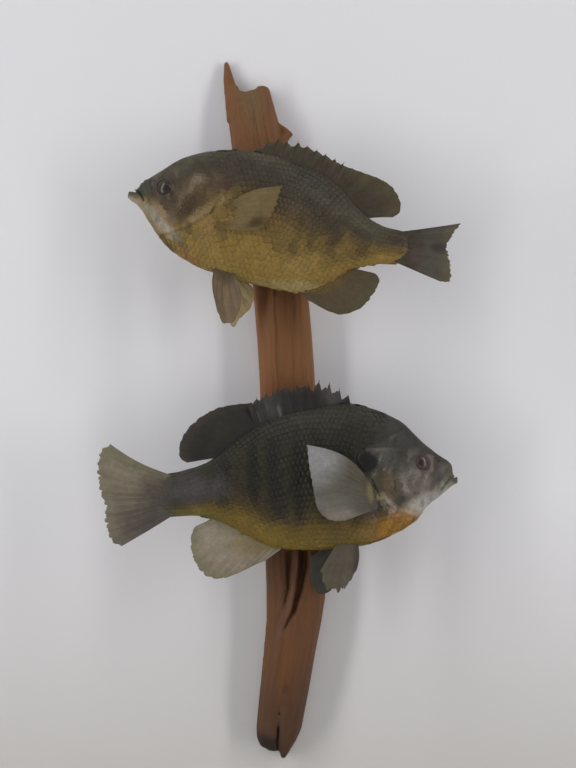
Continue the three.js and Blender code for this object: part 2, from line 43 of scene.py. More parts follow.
# ---------- The room ----------
# A painted plaster wall that the driftwood hangs on, and a pale floor below it. Both let a look from
# behind or below through. A tall soft light stands in front at each side.
WALL_HALF_WIDTH = 1.5
WALL_TOP = 1.7
FLOOR_HEIGHT = -0.34
FLOOR_DEPTH = 2.6
WALL_GAP = 0.0006
WALL_WHITE = (230, 230, 235)
WALL_LOW_SHADE = (200, 198, 197)  # painted shade: the wall is painted darker low down, where less light reaches
SHADE_FROM, SHADE_TO = -0.07, -0.26  # the heights between which that comes in
FLOOR_PALE = (214, 213, 210)
LIGHT_WHITE = (1.0, 0.985, 0.965)
ROOM_TINT = (0.93, 0.95, 1.0, 1)  # the daylight that comes back from the rest of the room
ROOM_GLOW = 0.18
LIGHTS = [
    # [name, place, aim, (width, height), watts]
    ["window_left", (-1.75, -1.15, 0.8), (0, 0, 0.3), (0.28, 4.2), 39],
    ["window_right", (1.75, -1.15, 0.8), (0, 0, 0.3), (0.28, 4.2), 34],
    ["ceiling", (0, -0.9, 1.9), (0, -0.1, 0), (1.6, 1.2), 2.5],
    ["fill_behind", (0, 1.6, 0.6), (0, 0, 0), (1.6, 1.2), 4],
]
CAMERA_AWAY = 0.939
SENSOR = 36.0
LENS = 63.92


def linear(colour):
    """A display colour, 0 to 255, as the linear numbers that shaders take."""
    share = np.asarray(colour, float) / 255
    return np.where(share <= 0.04045, share / 12.92, ((share + 0.055) / 1.055) ** 2.4)


def rgba(colour):
    """A display colour as a socket takes it."""
    return (*linear(colour), 1.0)


def add(tree, kind, inputs=None, **settings):
    """A new node with its settings and its inputs, each a number or another node's output."""
    made = tree.nodes.new(kind)
    for key, value in settings.items():
        setattr(made, key, value)
    for key, value in (inputs or {}).items():
        if isinstance(value, bpy.types.NodeSocket):
            tree.links.new(value, made.inputs[key])
        else:
            made.inputs[key].default_value = value
    return made


def placed(name, data):
    """A new object in the scene, at the origin."""
    made = bpy.data.objects.new(name, data)
    bpy.context.scene.collection.objects.link(made)
    return made


def finish(name, roughness, coat=0.0, coat_roughness=0.2, specular=0.5):
    """A material of one shader; its colour, roughness and bump are linked by what calls this."""
    made = bpy.data.materials.new(name)
    made.use_nodes = True
    tree = made.node_tree
    shader = tree.nodes["Principled BSDF"]
    shader.inputs["Roughness"].default_value = roughness
    shader.inputs["Coat Weight"].default_value = coat
    shader.inputs["Coat Roughness"].default_value = coat_roughness
    shader.inputs["Specular IOR Level"].default_value = specular
    return made, tree, shader


def own_place(tree):
    """Where a spot lies on its object, in metres."""
    return add(tree, "ShaderNodeTexCoord").outputs["Object"]


def noise(tree, place, scale, detail, **inputs):
    """A noise of so many lumps to the metre, from 0 to 1."""
    inputs = {"Vector": place, "Scale": scale, "Detail": detail, **inputs}
    return add(tree, "ShaderNodeTexNoise", inputs).outputs["Fac"]


def bumped(tree, shader, height, strength, depth):
    """Roughens a finish by a height, without moving the mesh."""
    bump = add(tree, "ShaderNodeBump", {"Height": height, "Strength": strength, "Distance": depth})
    tree.links.new(bump.outputs["Normal"], shader.inputs["Normal"])


def one_sided(name, colour, low_colour, lump, depth):
    """Rolled paint that is clear from its back; the low colour comes in below the middle, which on the wall
    is painted shade.
    """
    made, tree, shader = finish(name, 0.85, specular=0.2)
    place = own_place(tree)
    stains = noise(tree, place, 5.0, 3.0)
    tone = add(tree, "ShaderNodeMix", {"Factor": stains}, data_type="RGBA")
    tone.inputs["A"].default_value = rgba(np.array(colour) * 0.985)
    tone.inputs["B"].default_value = rgba(colour)
    height = add(tree, "ShaderNodeSeparateXYZ", {0: place}).outputs["Z"]
    # The wall is painted darker low down: painted shade, where less light reaches.
    span = {"Value": height, "From Min": SHADE_FROM, "From Max": SHADE_TO}
    lowness = add(tree, "ShaderNodeMapRange", span)
    shifted = add(tree, "ShaderNodeMix", {"Factor": lowness.outputs[0]}, data_type="RGBA")
    tree.links.new(tone.outputs["Result"], shifted.inputs["A"])
    shifted.inputs["B"].default_value = rgba(low_colour)
    tree.links.new(shifted.outputs["Result"], shader.inputs["Base Color"])
    bumped(tree, shader, noise(tree, place, lump, 4.0), 0.25, depth)
    behind = add(tree, "ShaderNodeNewGeometry").outputs["Backfacing"]
    clear = add(tree, "ShaderNodeBsdfTransparent").outputs["BSDF"]
    either = add(tree, "ShaderNodeMixShader", {0: behind, 1: shader.outputs["BSDF"], 2: clear})
    tree.links.new(either.outputs["Shader"], tree.nodes["Material Output"].inputs["Surface"])
    return made


def backdrop(name, corners, material):
    """A flat sheet of the room, which throws no shadow."""
    mesh = bpy.data.meshes.new(name)
    mesh.from_pydata(corners, [], [(0, 1, 2, 3)])
    mesh.materials.append(material)
    made = placed(name, mesh)
    made.visible_shadow = False


left, right, low = -WALL_HALF_WIDTH, WALL_HALF_WIDTH, FLOOR_HEIGHT
skirting = [(left, WALL_GAP, low), (right, WALL_GAP, low)]
backdrop(
    "wall",
    [*skirting, (right, WALL_GAP, WALL_TOP), (left, WALL_GAP, WALL_TOP)],
    one_sided("wall_paint", WALL_WHITE, WALL_LOW_SHADE, 160.0, 0.0004),
)
backdrop(
    "floor",
    [(left, -FLOOR_DEPTH, low), (right, -FLOOR_DEPTH, low), *reversed(skirting)],
    one_sided("floor_paint", FLOOR_PALE, FLOOR_PALE, 60.0, 0.0005),
)


def soft_light(name, place, aim, size, watts):
    """A rectangle of light at a place, turned to its aim."""
    lamp = bpy.data.lights.new(name, "AREA")
    lamp.shape = "RECTANGLE"
    lamp.size, lamp.size_y = size
    lamp.energy = watts
    lamp.color = LIGHT_WHITE
    made = placed(name, lamp)
    made.location = place
    towards = np.array(aim) - np.array(place)
    made.rotation_euler = Vector(towards).to_track_quat("-Z", "Y").to_euler()


for name, place, aim, size, watts in LIGHTS:
    soft_light(name, place, aim, size, watts)
world = bpy.data.worlds.new("room")
bpy.context.scene.world = world
world.use_nodes = True
world.node_tree.nodes["Background"].inputs["Color"].default_value = ROOM_TINT
world.node_tree.nodes["Background"].inputs["Strength"].default_value = ROOM_GLOW
bpy.context.scene.view_settings.view_transform = "Standard"

camera = placed("camera", bpy.data.cameras.new("camera"))
camera.data.sensor_width = SENSOR
camera.data.lens = LENS
camera.location = (0, -CAMERA_AWAY, 0)
camera.rotation_euler = (math.pi / 2, 0, 0)
bpy.context.scene.camera = camera

# ---------- The driftwood ----------
# One strip of weathered, red-brown softwood, flat behind and worn round in front, with long drying
# cracks, a hollow gouge and a dark split foot. It hangs by its flat back; the fish are screwed to it.
WOOD_VOXEL = 0.95 * MM
WOOD_SETTLING = 16  # rounds of smoothing that take the CAD solid's flats away
WOOD_MIDDLE = [[-256, -3], [-242, -6.5], [-150, 5], [-60, 1], [0, -1], [60, -4.6], [157, -21.5], [216, -31]]
WOOD_SMOOTHER = (0.5, -0.51)  # in turn towards the neighbours and away, so that the wood doesn't shrink
FLAT_BACK = 2.4  # the surface is left plain this near to the wall
CRACK_WANDER = 1.6
KNOT_DIP = 0.5
CRACKS = [
    # [how far right of the middle, from height, to height, depth, half width]
    [8, -200, -168, 0.5, 0.5],
    [-9, -150, -100, 0.4, 0.5],
    [-5, -60, 92, 0.3, 0.5],
    [7.5, 36, 104, 0.3, 0.45],
    [2, 150, 200, 0.6, 0.55],
    [8, 150, 190, 0.35, 0.45],
]
KNOTS = [[1, -206, 2.6, 4.2], [-4, 62, 2, 3.4]]  # [right of the middle, height, half width, half height]
WEATHERING = [
    # [depth, (lump across, lump outwards, lump along the grain), seed]
    [0.5, (8, 9, 60), 3],
    [0.24, (2.9, 3.2, 46), 4],
    [0.14, (1.7, 1.8, 24), 5],
]
WOOD_BROWN = (118, 79, 50)
WOOD_ORANGE = (132, 86, 45)
WOOD_RED = (106, 68, 47)
WOOD_GREY = (108, 92, 66)
WOOD_DARK = (64, 47, 36)
# char on the split foot, and painted shade deep in the gouge
WOOD_CHAR_AND_SHADE = (34, 28, 25)
# a warm patch of the wood that also serves as painted light over the upper fish's shadow
WOOD_WARM_AND_LIGHT = (130, 90, 56)
WOOD_PINK = (110, 80, 67)
GOUGE_MIDDLE = [[-176, -9], [-150, 1], [-124, 6], [-94, 7]]  # [height, x]
GOUGE_RIDGE = [[-172, -6.6], [-157, -1.4], [-143, 2.2], [-126, 5.9], [-100, 7]]


def through(pairs):
    """A smooth function through [position, value] pairs that never overshoots them."""
    at, value = np.array(pairs, float).T
    step = np.diff(at)
    rise = np.diff(value) / step
    before = np.concatenate([rise[:1], rise])
    after = np.concatenate([rise, rise[-1:]])
    alike = before * after > 0
    slope = np.where(alike, 2 * before * after / np.where(alike, before + after, 1), 0)

    def read(x):
        x = np.clip(x, at[0], at[-1])
        i = np.clip(np.searchsorted(at, x, side="right") - 1, 0, len(step) - 1)
        h = step[i]
        t = (x - at[i]) / h
        bend = 3 * t**2 - 2 * t**3
        tangents = slope[i] * (t**3 - 2 * t**2 + t) + slope[i + 1] * (t**3 - t**2)
        return value[i] * (1 - bend) + value[i + 1] * bend + h * tangents

    return read


def smooth(x, low, high):
    """0 below low, 1 above high and an even slope between."""
    t = np.clip((x - low) / (high - low), 0, 1)
    return t * t * (3 - 2 * t)


def cloud(points, size, seed):
    """Soft random values from -1 to 1 whose lumps are about `size` wide, which may differ by axis."""
    lattice = np.random.default_rng(seed).uniform(-1, 1, (32, 32, 32))
    scaled = points / np.array(size, float)
    cell = np.floor(scaled).astype(int)
    t = scaled - cell
    t = t * t * (3 - 2 * t)
    total = 0
    for corner in np.ndindex(2, 2, 2):
        weight = np.prod(np.where(corner, t, 1 - t), axis=-1)
        i = (cell + corner) % 32
        total = total + weight * lattice[i[..., 0], i[..., 1], i[..., 2]]
    return total


def blend(colours, extra, weight):
    """Lays a display colour over rows of linear colours by weight."""
    weight = np.asarray(weight)[..., None]
    return colours * (1 - weight) + linear(extra) * weight


def baked(piece):
    """Turns the piece's modifiers into a plain mesh."""
    graph = bpy.context.evaluated_depsgraph_get()
    piece.data = bpy.data.meshes.new_from_object(piece.evaluated_get(graph))
    piece.modifiers.clear()
    piece.data.name = piece.name


def places(mesh):
    """A mesh's points as rows of three."""
    flat = np.empty(len(mesh.vertices) * 3)
    mesh.vertices.foreach_get("co", flat)
    return flat.reshape(-1, 3)


def normals(mesh):
    """The outward direction at each of a mesh's points."""
    flat = np.empty(len(mesh.vertices) * 3)
    mesh.vertex_normals.foreach_get("vector", flat)
    return flat.reshape(-1, 3)


def write_values(mesh, **values):
    """Stores values by vertex: a colour for rows of three, or one number each."""
    for name, rows in values.items():
        if rows.ndim == 2:
            rows = np.hstack([rows, np.ones((len(rows), 1))])
            mesh.attributes.new(name, "FLOAT_COLOR", "POINT").data.foreach_set("color", rows.ravel())
        else:
            mesh.attributes.new(name, "FLOAT", "POINT").data.foreach_set("value", rows.ravel())


def stretched(tree, value, low, high, start=0.3, end=0.7):
    """Stretches a noise, most of which lies between start and end, over low to high."""
    span = {"Value": value, "From Min": start, "From Max": end, "To Min": low, "To Max": high}
    return add(tree, "ShaderNodeMapRange", span).outputs[0]


def shade_paint(tree, shader, *shades):
    """Colours a piece with the paint stored on it, times each of these shades."""
    paint = add(tree, "ShaderNodeAttribute", attribute_name="paint").outputs["Color"]
    total = shades[0]
    for shade in shades[1:]:
        total = add(tree, "ShaderNodeMath", {0: total, 1: shade}, operation="MULTIPLY").outputs[0]
    lit = add(tree, "ShaderNodeVectorMath", {0: paint, "Scale": total}, operation="SCALE")
    tree.links.new(lit.outputs["Vector"], shader.inputs["Base Color"])


def vary_gloss(tree, shader, value, low, high):
    """Lets the roughness of a finish wander between two levels."""
    tree.links.new(stretched(tree, value, low, high, 0, 1), shader.inputs["Roughness"])


wood = placed("driftwood_strip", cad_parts["driftwood"].data.copy())
wood.modifiers.new("merged", "WELD").merge_threshold = 0.01 * MM
remesh = wood.modifiers.new("even", "REMESH")
remesh.mode = "VOXEL"
remesh.voxel_size = WOOD_VOXEL
baked(wood)
spots = places(wood.data) / MM
edges = np.empty(len(wood.data.edges) * 2, int)
wood.data.edges.foreach_get("vertices", edges)
edges = edges.reshape(-1, 2)
ends = np.concatenate([edges[:, 0], edges[:, 1]])
others = np.concatenate([edges[:, 1], edges[:, 0]])
meeting = np.bincount(ends, minlength=len(spots))[:, None]
for share in WOOD_SMOOTHER * WOOD_SETTLING:
    around = [np.bincount(ends, spots[others, axis], len(spots)) for axis in range(3)]
    around = np.stack(around, 1) / meeting
    spots = spots + share * (around - spots)
spots[:, 1] = np.minimum(spots[:, 1], 0)
wood.data.vertices.foreach_set("co", (spots * MM).ravel())
wood.data.update()

middle = through(WOOD_MIDDLE)(spots[:, 2])
grain = np.stack([spots[:, 0] - middle, spots[:, 1], spots[:, 2]], 1)
for centre, height, across, along in KNOTS:
    near = np.exp(-(((grain[:, 0] - centre) / across / 2) ** 2) - ((grain[:, 2] - height) / along / 2) ** 2)
    grain[:, 0] += np.sign(grain[:, 0] - centre) * near * across * 0.5
shifted = np.zeros(len(spots))
for depth, size, seed in WEATHERING:
    shifted += depth * cloud(grain, size, seed)
split = np.zeros(len(spots))
for aside, low, high, depth, half in CRACKS:
    line_x = aside + CRACK_WANDER * cloud(np.stack([grain[:, 2]] * 3, 1), (23, 23, 23), int(abs(low)))
    ends_in = smooth(grain[:, 2], low, low + 14) * (1 - smooth(grain[:, 2], high - 14, high))
    crack = np.exp(-(((grain[:, 0] - line_x) / half) ** 2)) * ends_in
    shifted -= depth * crack
    split = np.maximum(split, crack)
knot = np.zeros(len(spots))
for centre, height, across, along in KNOTS:
    reach = np.hypot((spots[:, 0] - middle - centre) / across, (spots[:, 2] - height) / along)
    knot = np.maximum(knot, 1 - smooth(reach, 0.5, 1.2))
    shifted -= KNOT_DIP * (1 - smooth(reach, 0.2, 0.9))
front = smooth(-spots[:, 1], 0.4, FLAT_BACK)
spots = spots + normals(wood.data) * (shifted * front)[:, None]
spots[:, 1] = np.minimum(spots[:, 1], 0)
wood.data.vertices.foreach_set("co", (spots * MM).ravel())

height = spots[:, 2]
long_streaks = cloud(grain, (3.4, 6, 90), 11)
patches = cloud(grain, (14, 14, 50), 12)
paint = np.tile(linear(WOOD_BROWN), (len(spots), 1))
paint = blend(paint, WOOD_ORANGE, 0.75 * smooth(patches + 0.4 * long_streaks, 0.0, 0.9))
paint = blend(paint, WOOD_RED, 0.6 * smooth(-patches + 0.4 * long_streaks, 0.1, 1.0))
paint = blend(paint, WOOD_GREY, 0.75 * np.exp(-(((grain[:, 0] - 2) / 9) ** 2) - ((height - 196) / 24) ** 2))
paint = blend(paint, WOOD_DARK, 0.38 * (1 - smooth(height, -130, -60)))
paint = blend(paint, WOOD_DARK, 0.6 * (1 - smooth(height, -225, -170)))
# A warm band across the middle of the strip: partly the wood's own warm patch, partly painted light that
# lifts the shadow which the upper fish casts here.
paint = blend(paint, WOOD_WARM_AND_LIGHT, 0.7 * np.exp(-(((height - 28) / 26) ** 4)))
paint = blend(paint, WOOD_DARK, 0.22 * smooth(cloud(grain, (1.3, 2.5, 60), 13), 0.15, 0.8))
# The gouge is painted darker in its upper part and darker still where it sinks deepest: painted shade in the
# hollow.
hollow = np.exp(-(((spots[:, 0] - through(GOUGE_MIDDLE)(height)) / 9) ** 4))
hollow = hollow * smooth(height, -178, -168) * (1 - smooth(height, -96, -88)) * smooth(-spots[:, 1], 4, 9)
paint = blend(paint, WOOD_DARK, 0.4 * hollow * smooth(height, -160, -110))
paint = blend(paint, WOOD_CHAR_AND_SHADE, 0.1 * hollow * smooth(spots[:, 1], -20.5, -15.5))
crest = np.exp(-(((spots[:, 0] - through(GOUGE_RIDGE)(height)) / 1.9) ** 2))
crest = crest * smooth(-spots[:, 1], 18.6, 20.6)
paint = blend(paint, WOOD_PINK, 0.8 * crest * smooth(height, -176, -166) * (1 - smooth(height, -118, -108)))
paint = blend(paint, WOOD_DARK, 0.5 * split)
paint = blend(paint, WOOD_DARK, 0.45 * knot)
foot = (1 - smooth(height, -243, -234 + 5 * patches)) * smooth(-spots[:, 0], 3.5, 8)
paint = blend(paint, WOOD_CHAR_AND_SHADE, 0.93 * foot)
paint = blend(paint, WOOD_DARK, 0.7 * (1 - smooth(height, -256, -240)))
write_values(wood.data, paint=paint, fibre=grain[:, 0])
wood.data.shade_smooth()

grained, tree, shader = finish("driftwood_grain", 0.62, specular=0.2)
fibre = add(tree, "ShaderNodeAttribute", attribute_name="fibre").outputs["Fac"]
place = own_place(tree)
split_place = add(tree, "ShaderNodeSeparateXYZ", {0: place})
along = add(tree, "ShaderNodeCombineXYZ", {"Y": split_place.outputs["Y"], "Z": split_place.outputs["Z"]})
across = add(tree, "ShaderNodeMath", {0: fibre, 1: MM}, operation="MULTIPLY").outputs["Value"]
tree.links.new(across, along.inputs["X"])
drawn_out = add(tree, "ShaderNodeMapping", {"Vector": along.outputs[0], "Scale": (1, 1, 0.035)}).outputs[0]
fine = noise(tree, drawn_out, 1500.0, 5.0, Roughness=0.62)
broad = noise(tree, drawn_out, 420.0, 4.0)
specks = noise(tree, place, 900.0, 2.0)
shade_paint(tree, shader, stretched(tree, fine, 0.86, 1.12), stretched(tree, broad, 0.92, 1.07))
vary_gloss(tree, shader, broad, 0.5, 0.78)
relief = add(tree, "ShaderNodeMath", {0: fine, 1: specks}, operation="ADD").outputs[0]
bumped(tree, shader, relief, 0.45, 0.3 * MM)
wood.data.materials.clear()
wood.data.materials.append(grained)
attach(wood, "root")
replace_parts(wood, "driftwood")

# ---------- The bluegill's skin ----------
# A real skin drawn over a carved form and painted: dark olive back and flanks with faint upright bars,
# yellow belly, orange breast, grey cheeks and a black ear flap. It is one piece from lips to tail.
# Straight-fish millimetres: x from the tip of the lower jaw to the tail, z up, y across.
MIDDLE_OFF_WALL = 38
# jaw_tip and tilt place a fish on the wall, and heading turns it. near is 1 where its right flank is in
# front and -1 where its left is. Past swing_from the tail swings away from the wall.
BLUEGILL = {
    "jaw_tip": (110, -63), "tilt": -3, "heading": 180, "near": 1, "swing": 0.0006, "swing_from": 110,
    "tip_at": -2, "stalk_end": 197,
    "back": [[1.6, 9.6], [3.8, 12.8], [10, 17.5], [18, 24.4], [25, 31.8], [32, 39.3], [44, 46.4],
             [60, 52.5], [70, 54], [93, 51.6], [120, 45.8], [144, 33.4], [154, 25.6], [164, 19.4],
             [174, 16.4], [184, 14.2], [191, 14], [197, 14.4]],
    "belly": [[-2, -2.4], [0, -3.2], [3, -4.9], [7, -8.2], [11, -11.3], [15, -13.9], [18, -16.2],
              [21, -19.5], [24, -23.6], [27, -26.5], [30, -28.3], [38, -32.6], [52, -38], [68, -41.5],
              [92, -41.8], [118, -39.6], [131, -34.8], [145, -26], [160, -18.2], [176, -14.5],
              [191, -14.9], [197, -15.2]],
    "half_width": [[-2, 1.8], [0, 3], [2.2, 4.4], [6, 6.6], [12, 8.8], [22, 11.8], [35, 15], [50, 17.8],
                   [70, 19.2], [95, 18.6], [120, 15], [145, 10], [165, 6.8], [180, 4.6], [190, 2.5],
                   [197, 0.9]],
    "widest_at": [[-2, -0.6], [0, -0.6], [12, 4], [25, 7], [60, 5], [120, 2], [160, 0.5], [191, -0.2]],
    "keel": [[0, 0.42], [25, 0.46], [60, 0.58], [120, 0.62], [165, 0.56], [191, 0.5]],
    # The top line from the jaw's tip over the closed mouth and up the front of the lip: [along, x, z].
    "snout": [[-2, -2, 1.4], [-1.4, -1.5, 1.6], [-0.4, -0.2, 1.4], [0.5, 1.0, 1.2], [1.1, 1.7, 1.5],
              [1.7, 1.4, 3.2], [2.4, 1.1, 5.6], [3.2, 1.1, 7.8], [4.0, 1.6, 10], [5.0, 3.2, 12.1],
              [6.4, 5.4, 13.9], [9, 9, 16.7]],
    "mouth": [[1.4, 1.9], [3.4, 1.0], [5.6, -1.2], [8, -4], [9.7, -6.2]],
    "jawbone": [[3.6, 8.2], [6.6, 5.2], [10, 0.6], [12.2, -3.4], [12, -6.6]],
    "nostrils": [[12.6, 15.2], [10.2, 13.4]],
    "cheek_edge": [[39, 26], [40.2, 20], [40.6, 8.7], [40, 0], [37.4, -8], [32, -12.4], [24, -13.6],
                   [16, -12]],
    "cheek_bulge": (29, 1, 10, 9), "crease": 0.8,
    "gill_edge": [[44, 31], [52, 27.6], [58.6, 24], [63, 20.4], [64, 15.6], [60.6, 11], [57, 7],
                  [54, 3.4], [51.6, -2.6], [48.4, -8.7], [43.4, -14.8], [36, -19.4], [27.6, -22.6],
                  [21, -21]],
    "ear_flap": (57.4, 15.4, 6.8, 6.6),
    "nape_edge": [[38, 60], [42, 42], [50, 33], [58.6, 27]],
    "eye": {"x": 21.2, "z": 12.6, "radius": 5.4, "depth": 3.6, "proud": 1.6, "open": 4.7},
    "lateral_line": [[58, 25.5], [75, 32], [95, 33.5], [115, 30], [135, 20], [150, 10], [165, 3.5],
                     [193, 0.5]],
}
AROUND = 256
FINE_STEP = 0.46
FINE_TO = 68
COARSE_STEP = 1.25
END_LAG = 3.5  # the scaly end of the tail stalk is bowed rearwards by this
END_RINGS = [-3, -2, -1.2, -0.5, 0, 0.4, 0.7, 0.9]  # where the stalk is closed, from its end
SKIN_UNDER = 0.35  # the skin lies this far inside the CAD form, under its scales
STEP_ALONG = 0.12  # how far apart places are read to find which way the skin faces
STEP_ROUND = 5e-4  # the same in turns
# How far the skin of the head stands out or sinks in, and how wide each fold is.
MOUTH_DEPTH, MOUTH_WIDTH = 1.5, 0.62
LIP_RISE, LIP_WIDTH = 0.5, 0.75
JAWBONE_DEPTH, JAWBONE_WIDTH = 0.55, 0.6
JAWBONE_RISE, JAWBONE_ROUND = 0.4, 0.9
FOLD_MIDDLE = 1.5  # from the mouth's line to the middle of the lip, and from the jawbone's to its own
SOCKET_DEPTH = 1.2
LID_RISE, LID_WIDTH = 0.36, 0.85
UNDER_LID, UNDER_LID_WIDTH = 0.22, 1.1
NOSTRIL_DEPTH, NOSTRIL_WIDTH = 0.9, 0.62
NOSTRIL_RISE, NOSTRIL_RIM = 0.28, 0.45
CHEEK_GROOVE, CHEEK_GROOVE_WIDTH = 0.3, 0.9
CHEEK_SHELF, CHEEK_SHELF_WIDTH = 0.45, 5
CHEEK_RISE = 0.9
COVER_RISE, COVER_WIDTH = 0.95, 16
COVER_GROOVE, COVER_GROOVE_WIDTH = 0.4, 1.8
GILL_FOLDS = (3.2, 6.0, 8.6)  # the folds of the membrane under the gill cover, from its edge
GILL_FOLD_DEPTH, GILL_FOLD_WIDTH = 0.24, 0.6
EAR_RISE = 0.12


def line(points):
    """A smooth line through a few points, read by share of its length."""
    p = np.array(points, float)
    p = np.vstack([2 * p[0] - p[1], p, 2 * p[-1] - p[-2]])
    t = np.linspace(0, 1, 24, endpoint=False)[:, None]
    parts = []
    for a, b, c, d in zip(p[:-3], p[1:-2], p[2:-1], p[3:]):
        swing = (c - a) * t + (2 * a - 5 * b + 4 * c - d) * t**2 + (3 * b - a - 3 * c + d) * t**3
        parts.append(b + swing / 2)
    curve = np.vstack([*parts, p[-2:-1]])
    run = np.concatenate([[0], np.cumsum(np.linalg.norm(np.diff(curve, axis=0), axis=1))])
    run /= run[-1]
    return lambda share: np.stack([np.interp(share, run, column) for column in curve.T], -1)


def posed(fish, points):
    """Straight-fish millimetres in the mount's own place, in metres: bent, turned and set off the wall."""
    x, y, z = points[..., 0], points[..., 1], points[..., 2]
    past = np.maximum(0, x - fish["swing_from"])
    bend = np.arctan(2 * fish["swing"] * past) * fish["near"]
    bent_x = x - y * np.sin(bend)
    bent_y = fish["near"] * fish["swing"] * past**2 + y * np.cos(bend)
    turn = math.radians(fish["heading"])
    lean = math.radians(fish["tilt"])
    turned_x = bent_x * math.cos(turn) - bent_y * math.sin(turn)
    turned_y = bent_x * math.sin(turn) + bent_y * math.cos(turn)
    out = np.stack([
        turned_x * math.cos(lean) + z * math.sin(lean) + fish["jaw_tip"][0],
        turned_y - MIDDLE_OFF_WALL,
        z * math.cos(lean) - turned_x * math.sin(lean) + fish["jaw_tip"][1],
    ], -1)
    return out * MM


def from_line(path, x, z):
    """Each place's distance from a line of [x, z] points, and on which side of it: + is left of its run."""
    p = line(path)(np.linspace(0, 1, 56))
    best = np.full(x.shape, 1e9)
    side = np.ones(x.shape)
    for (ax, az), (bx, bz) in zip(p[:-1], p[1:]):
        dx, dz = bx - ax, bz - az
        t = np.clip(((x - ax) * dx + (z - az) * dz) / (dx * dx + dz * dz), 0, 1)
        away = np.hypot(x - ax - t * dx, z - az - t * dz)
        nearer = away < best
        best = np.where(nearer, away, best)
        side = np.where(nearer, np.sign(dx * (z - az) - dz * (x - ax) + 1e-9), side)
    return best, side


def fold(away, width, middle=0.0):
    """1 along the middle of a fold or groove, falling away to either side."""
    return np.exp(-(((away - middle) / width) ** 2))


def lump(x, z, cx, cz, across, tall):
    """1 in the middle of an oval, falling to a half near its edge."""
    reach = np.hypot((x - cx) / across, (z - cz) / tall)
    return np.exp(-0.7 * reach**2.0)


def ear_reach(fish, x, z):
    """0 in the middle of the ear flap and 1 at its rim."""
    cx, cz, half_long, half_tall = fish["ear_flap"]
    return np.hypot((x - cx) / half_long, (z - cz) / half_tall)


def head_relief(fish, x, y, z):
    """How far the skin of the head stands out from the plain form, in millimetres."""
    crease = fish["crease"]
    lips, _ = from_line(fish["mouth"], x, z)
    out = -MOUTH_DEPTH * fold(lips, MOUTH_WIDTH)
    out += LIP_RISE * fold(lips, LIP_WIDTH, FOLD_MIDDLE)
    rim, side = from_line(fish["jawbone"], x, z)
    out += -JAWBONE_DEPTH * crease * fold(rim, JAWBONE_WIDTH)
    out += JAWBONE_RISE * fold(rim, JAWBONE_ROUND, FOLD_MIDDLE) * (side > 0)
    eye = fish["eye"]
    reach = np.hypot(x - eye["x"], z - eye["z"]) - eye["open"]
    out += -SOCKET_DEPTH * (1 - smooth(reach, -0.7, 0.35))
    out += LID_RISE * fold(reach, LID_WIDTH, 1.1)
    out += -UNDER_LID * fold(reach, UNDER_LID_WIDTH, 3.4) * (z < eye["z"] + 2)
    for nx, nz in fish["nostrils"]:
        hole = np.hypot(x - nx, z - nz)
        out += NOSTRIL_RISE * fold(hole, NOSTRIL_RIM, 1.0) - NOSTRIL_DEPTH * fold(hole, NOSTRIL_WIDTH)
    edge, side = from_line(fish["cheek_edge"], x, z)
    groove = CHEEK_GROOVE * crease * fold(edge, CHEEK_GROOVE_WIDTH, 0.6) * (side > 0)
    out += (side < 0) * CHEEK_SHELF * crease * fold(edge, CHEEK_SHELF_WIDTH) - groove
    out += CHEEK_RISE * lump(x, z, *fish["cheek_bulge"])
    edge, side = from_line(fish["gill_edge"], x, z)
    inside = side < 0
    shown = smooth(x, 17, 26) * smooth(np.abs(y), 1.5, 5)
    cover = np.where(inside, smooth(edge, -0.2, 0.7) * np.exp(-edge / COVER_WIDTH), 0)
    groove = np.where(inside, 0, fold(edge, COVER_GROOVE_WIDTH))
    out += COVER_RISE * cover * shown - COVER_GROOVE * crease * groove * shown
    low = 1 - smooth(z, -10, -3)
    for middle in GILL_FOLDS:
        out += -GILL_FOLD_DEPTH * fold(edge, GILL_FOLD_WIDTH, middle) * inside * low * shown
    out += EAR_RISE * (1 - smooth(ear_reach(fish, x, z), 0.7, 1.1))
    p = np.stack([x, y, z], -1)
    out += 0.16 * cloud(p, (5, 5, 5), 21) + 0.08 * cloud(p, (1.9, 1.9, 1.9), 22)
    return out


def plain_skin(fish, along, around):
    """Places on the plain form, before its relief; along is the middle line's x and around is in turns."""
    back, belly = through(fish["back"]), through(fish["belly"])
    snout = np.array(fish["snout"], float)
    start = snout[-1, 0]
    top_x = np.where(along < start, through(snout[:, [0, 1]])(along), along)
    top_z = np.where(along < start, through(snout[:, [0, 2]])(along), back(along))
    foot_z = belly(along)
    lag = END_LAG * smooth(along, fish["stalk_end"] - 12, fish["stalk_end"])
    top_x, foot_x = top_x - lag, along - lag
    middle = np.minimum(through(fish["widest_at"])(along), top_z - 0.4 * np.minimum(top_z, 2))
    half = through(fish["half_width"])(along)
    half = half * np.sqrt(smooth(along, fish["tip_at"] - 0.05, fish["tip_at"] + 2.2))
    past = np.clip((along - fish["stalk_end"] + 3) / 4, 0, 1)
    half = half * np.sqrt(1 - past**2 * 0.96)
    power = 2 * through(fish["keel"])(along)
    turn = 2 * np.pi * around
    across, up = np.cos(turn), np.sin(turn)
    rise = np.abs(up)
    upper = up > 0
    x = along + rise * np.where(upper, top_x - along, foot_x - along)
    z = middle + rise * np.where(upper, top_z - middle, foot_z - middle)
    y = half * np.sign(across) * np.abs(across) ** power
    return np.stack([x, y, z], -1)


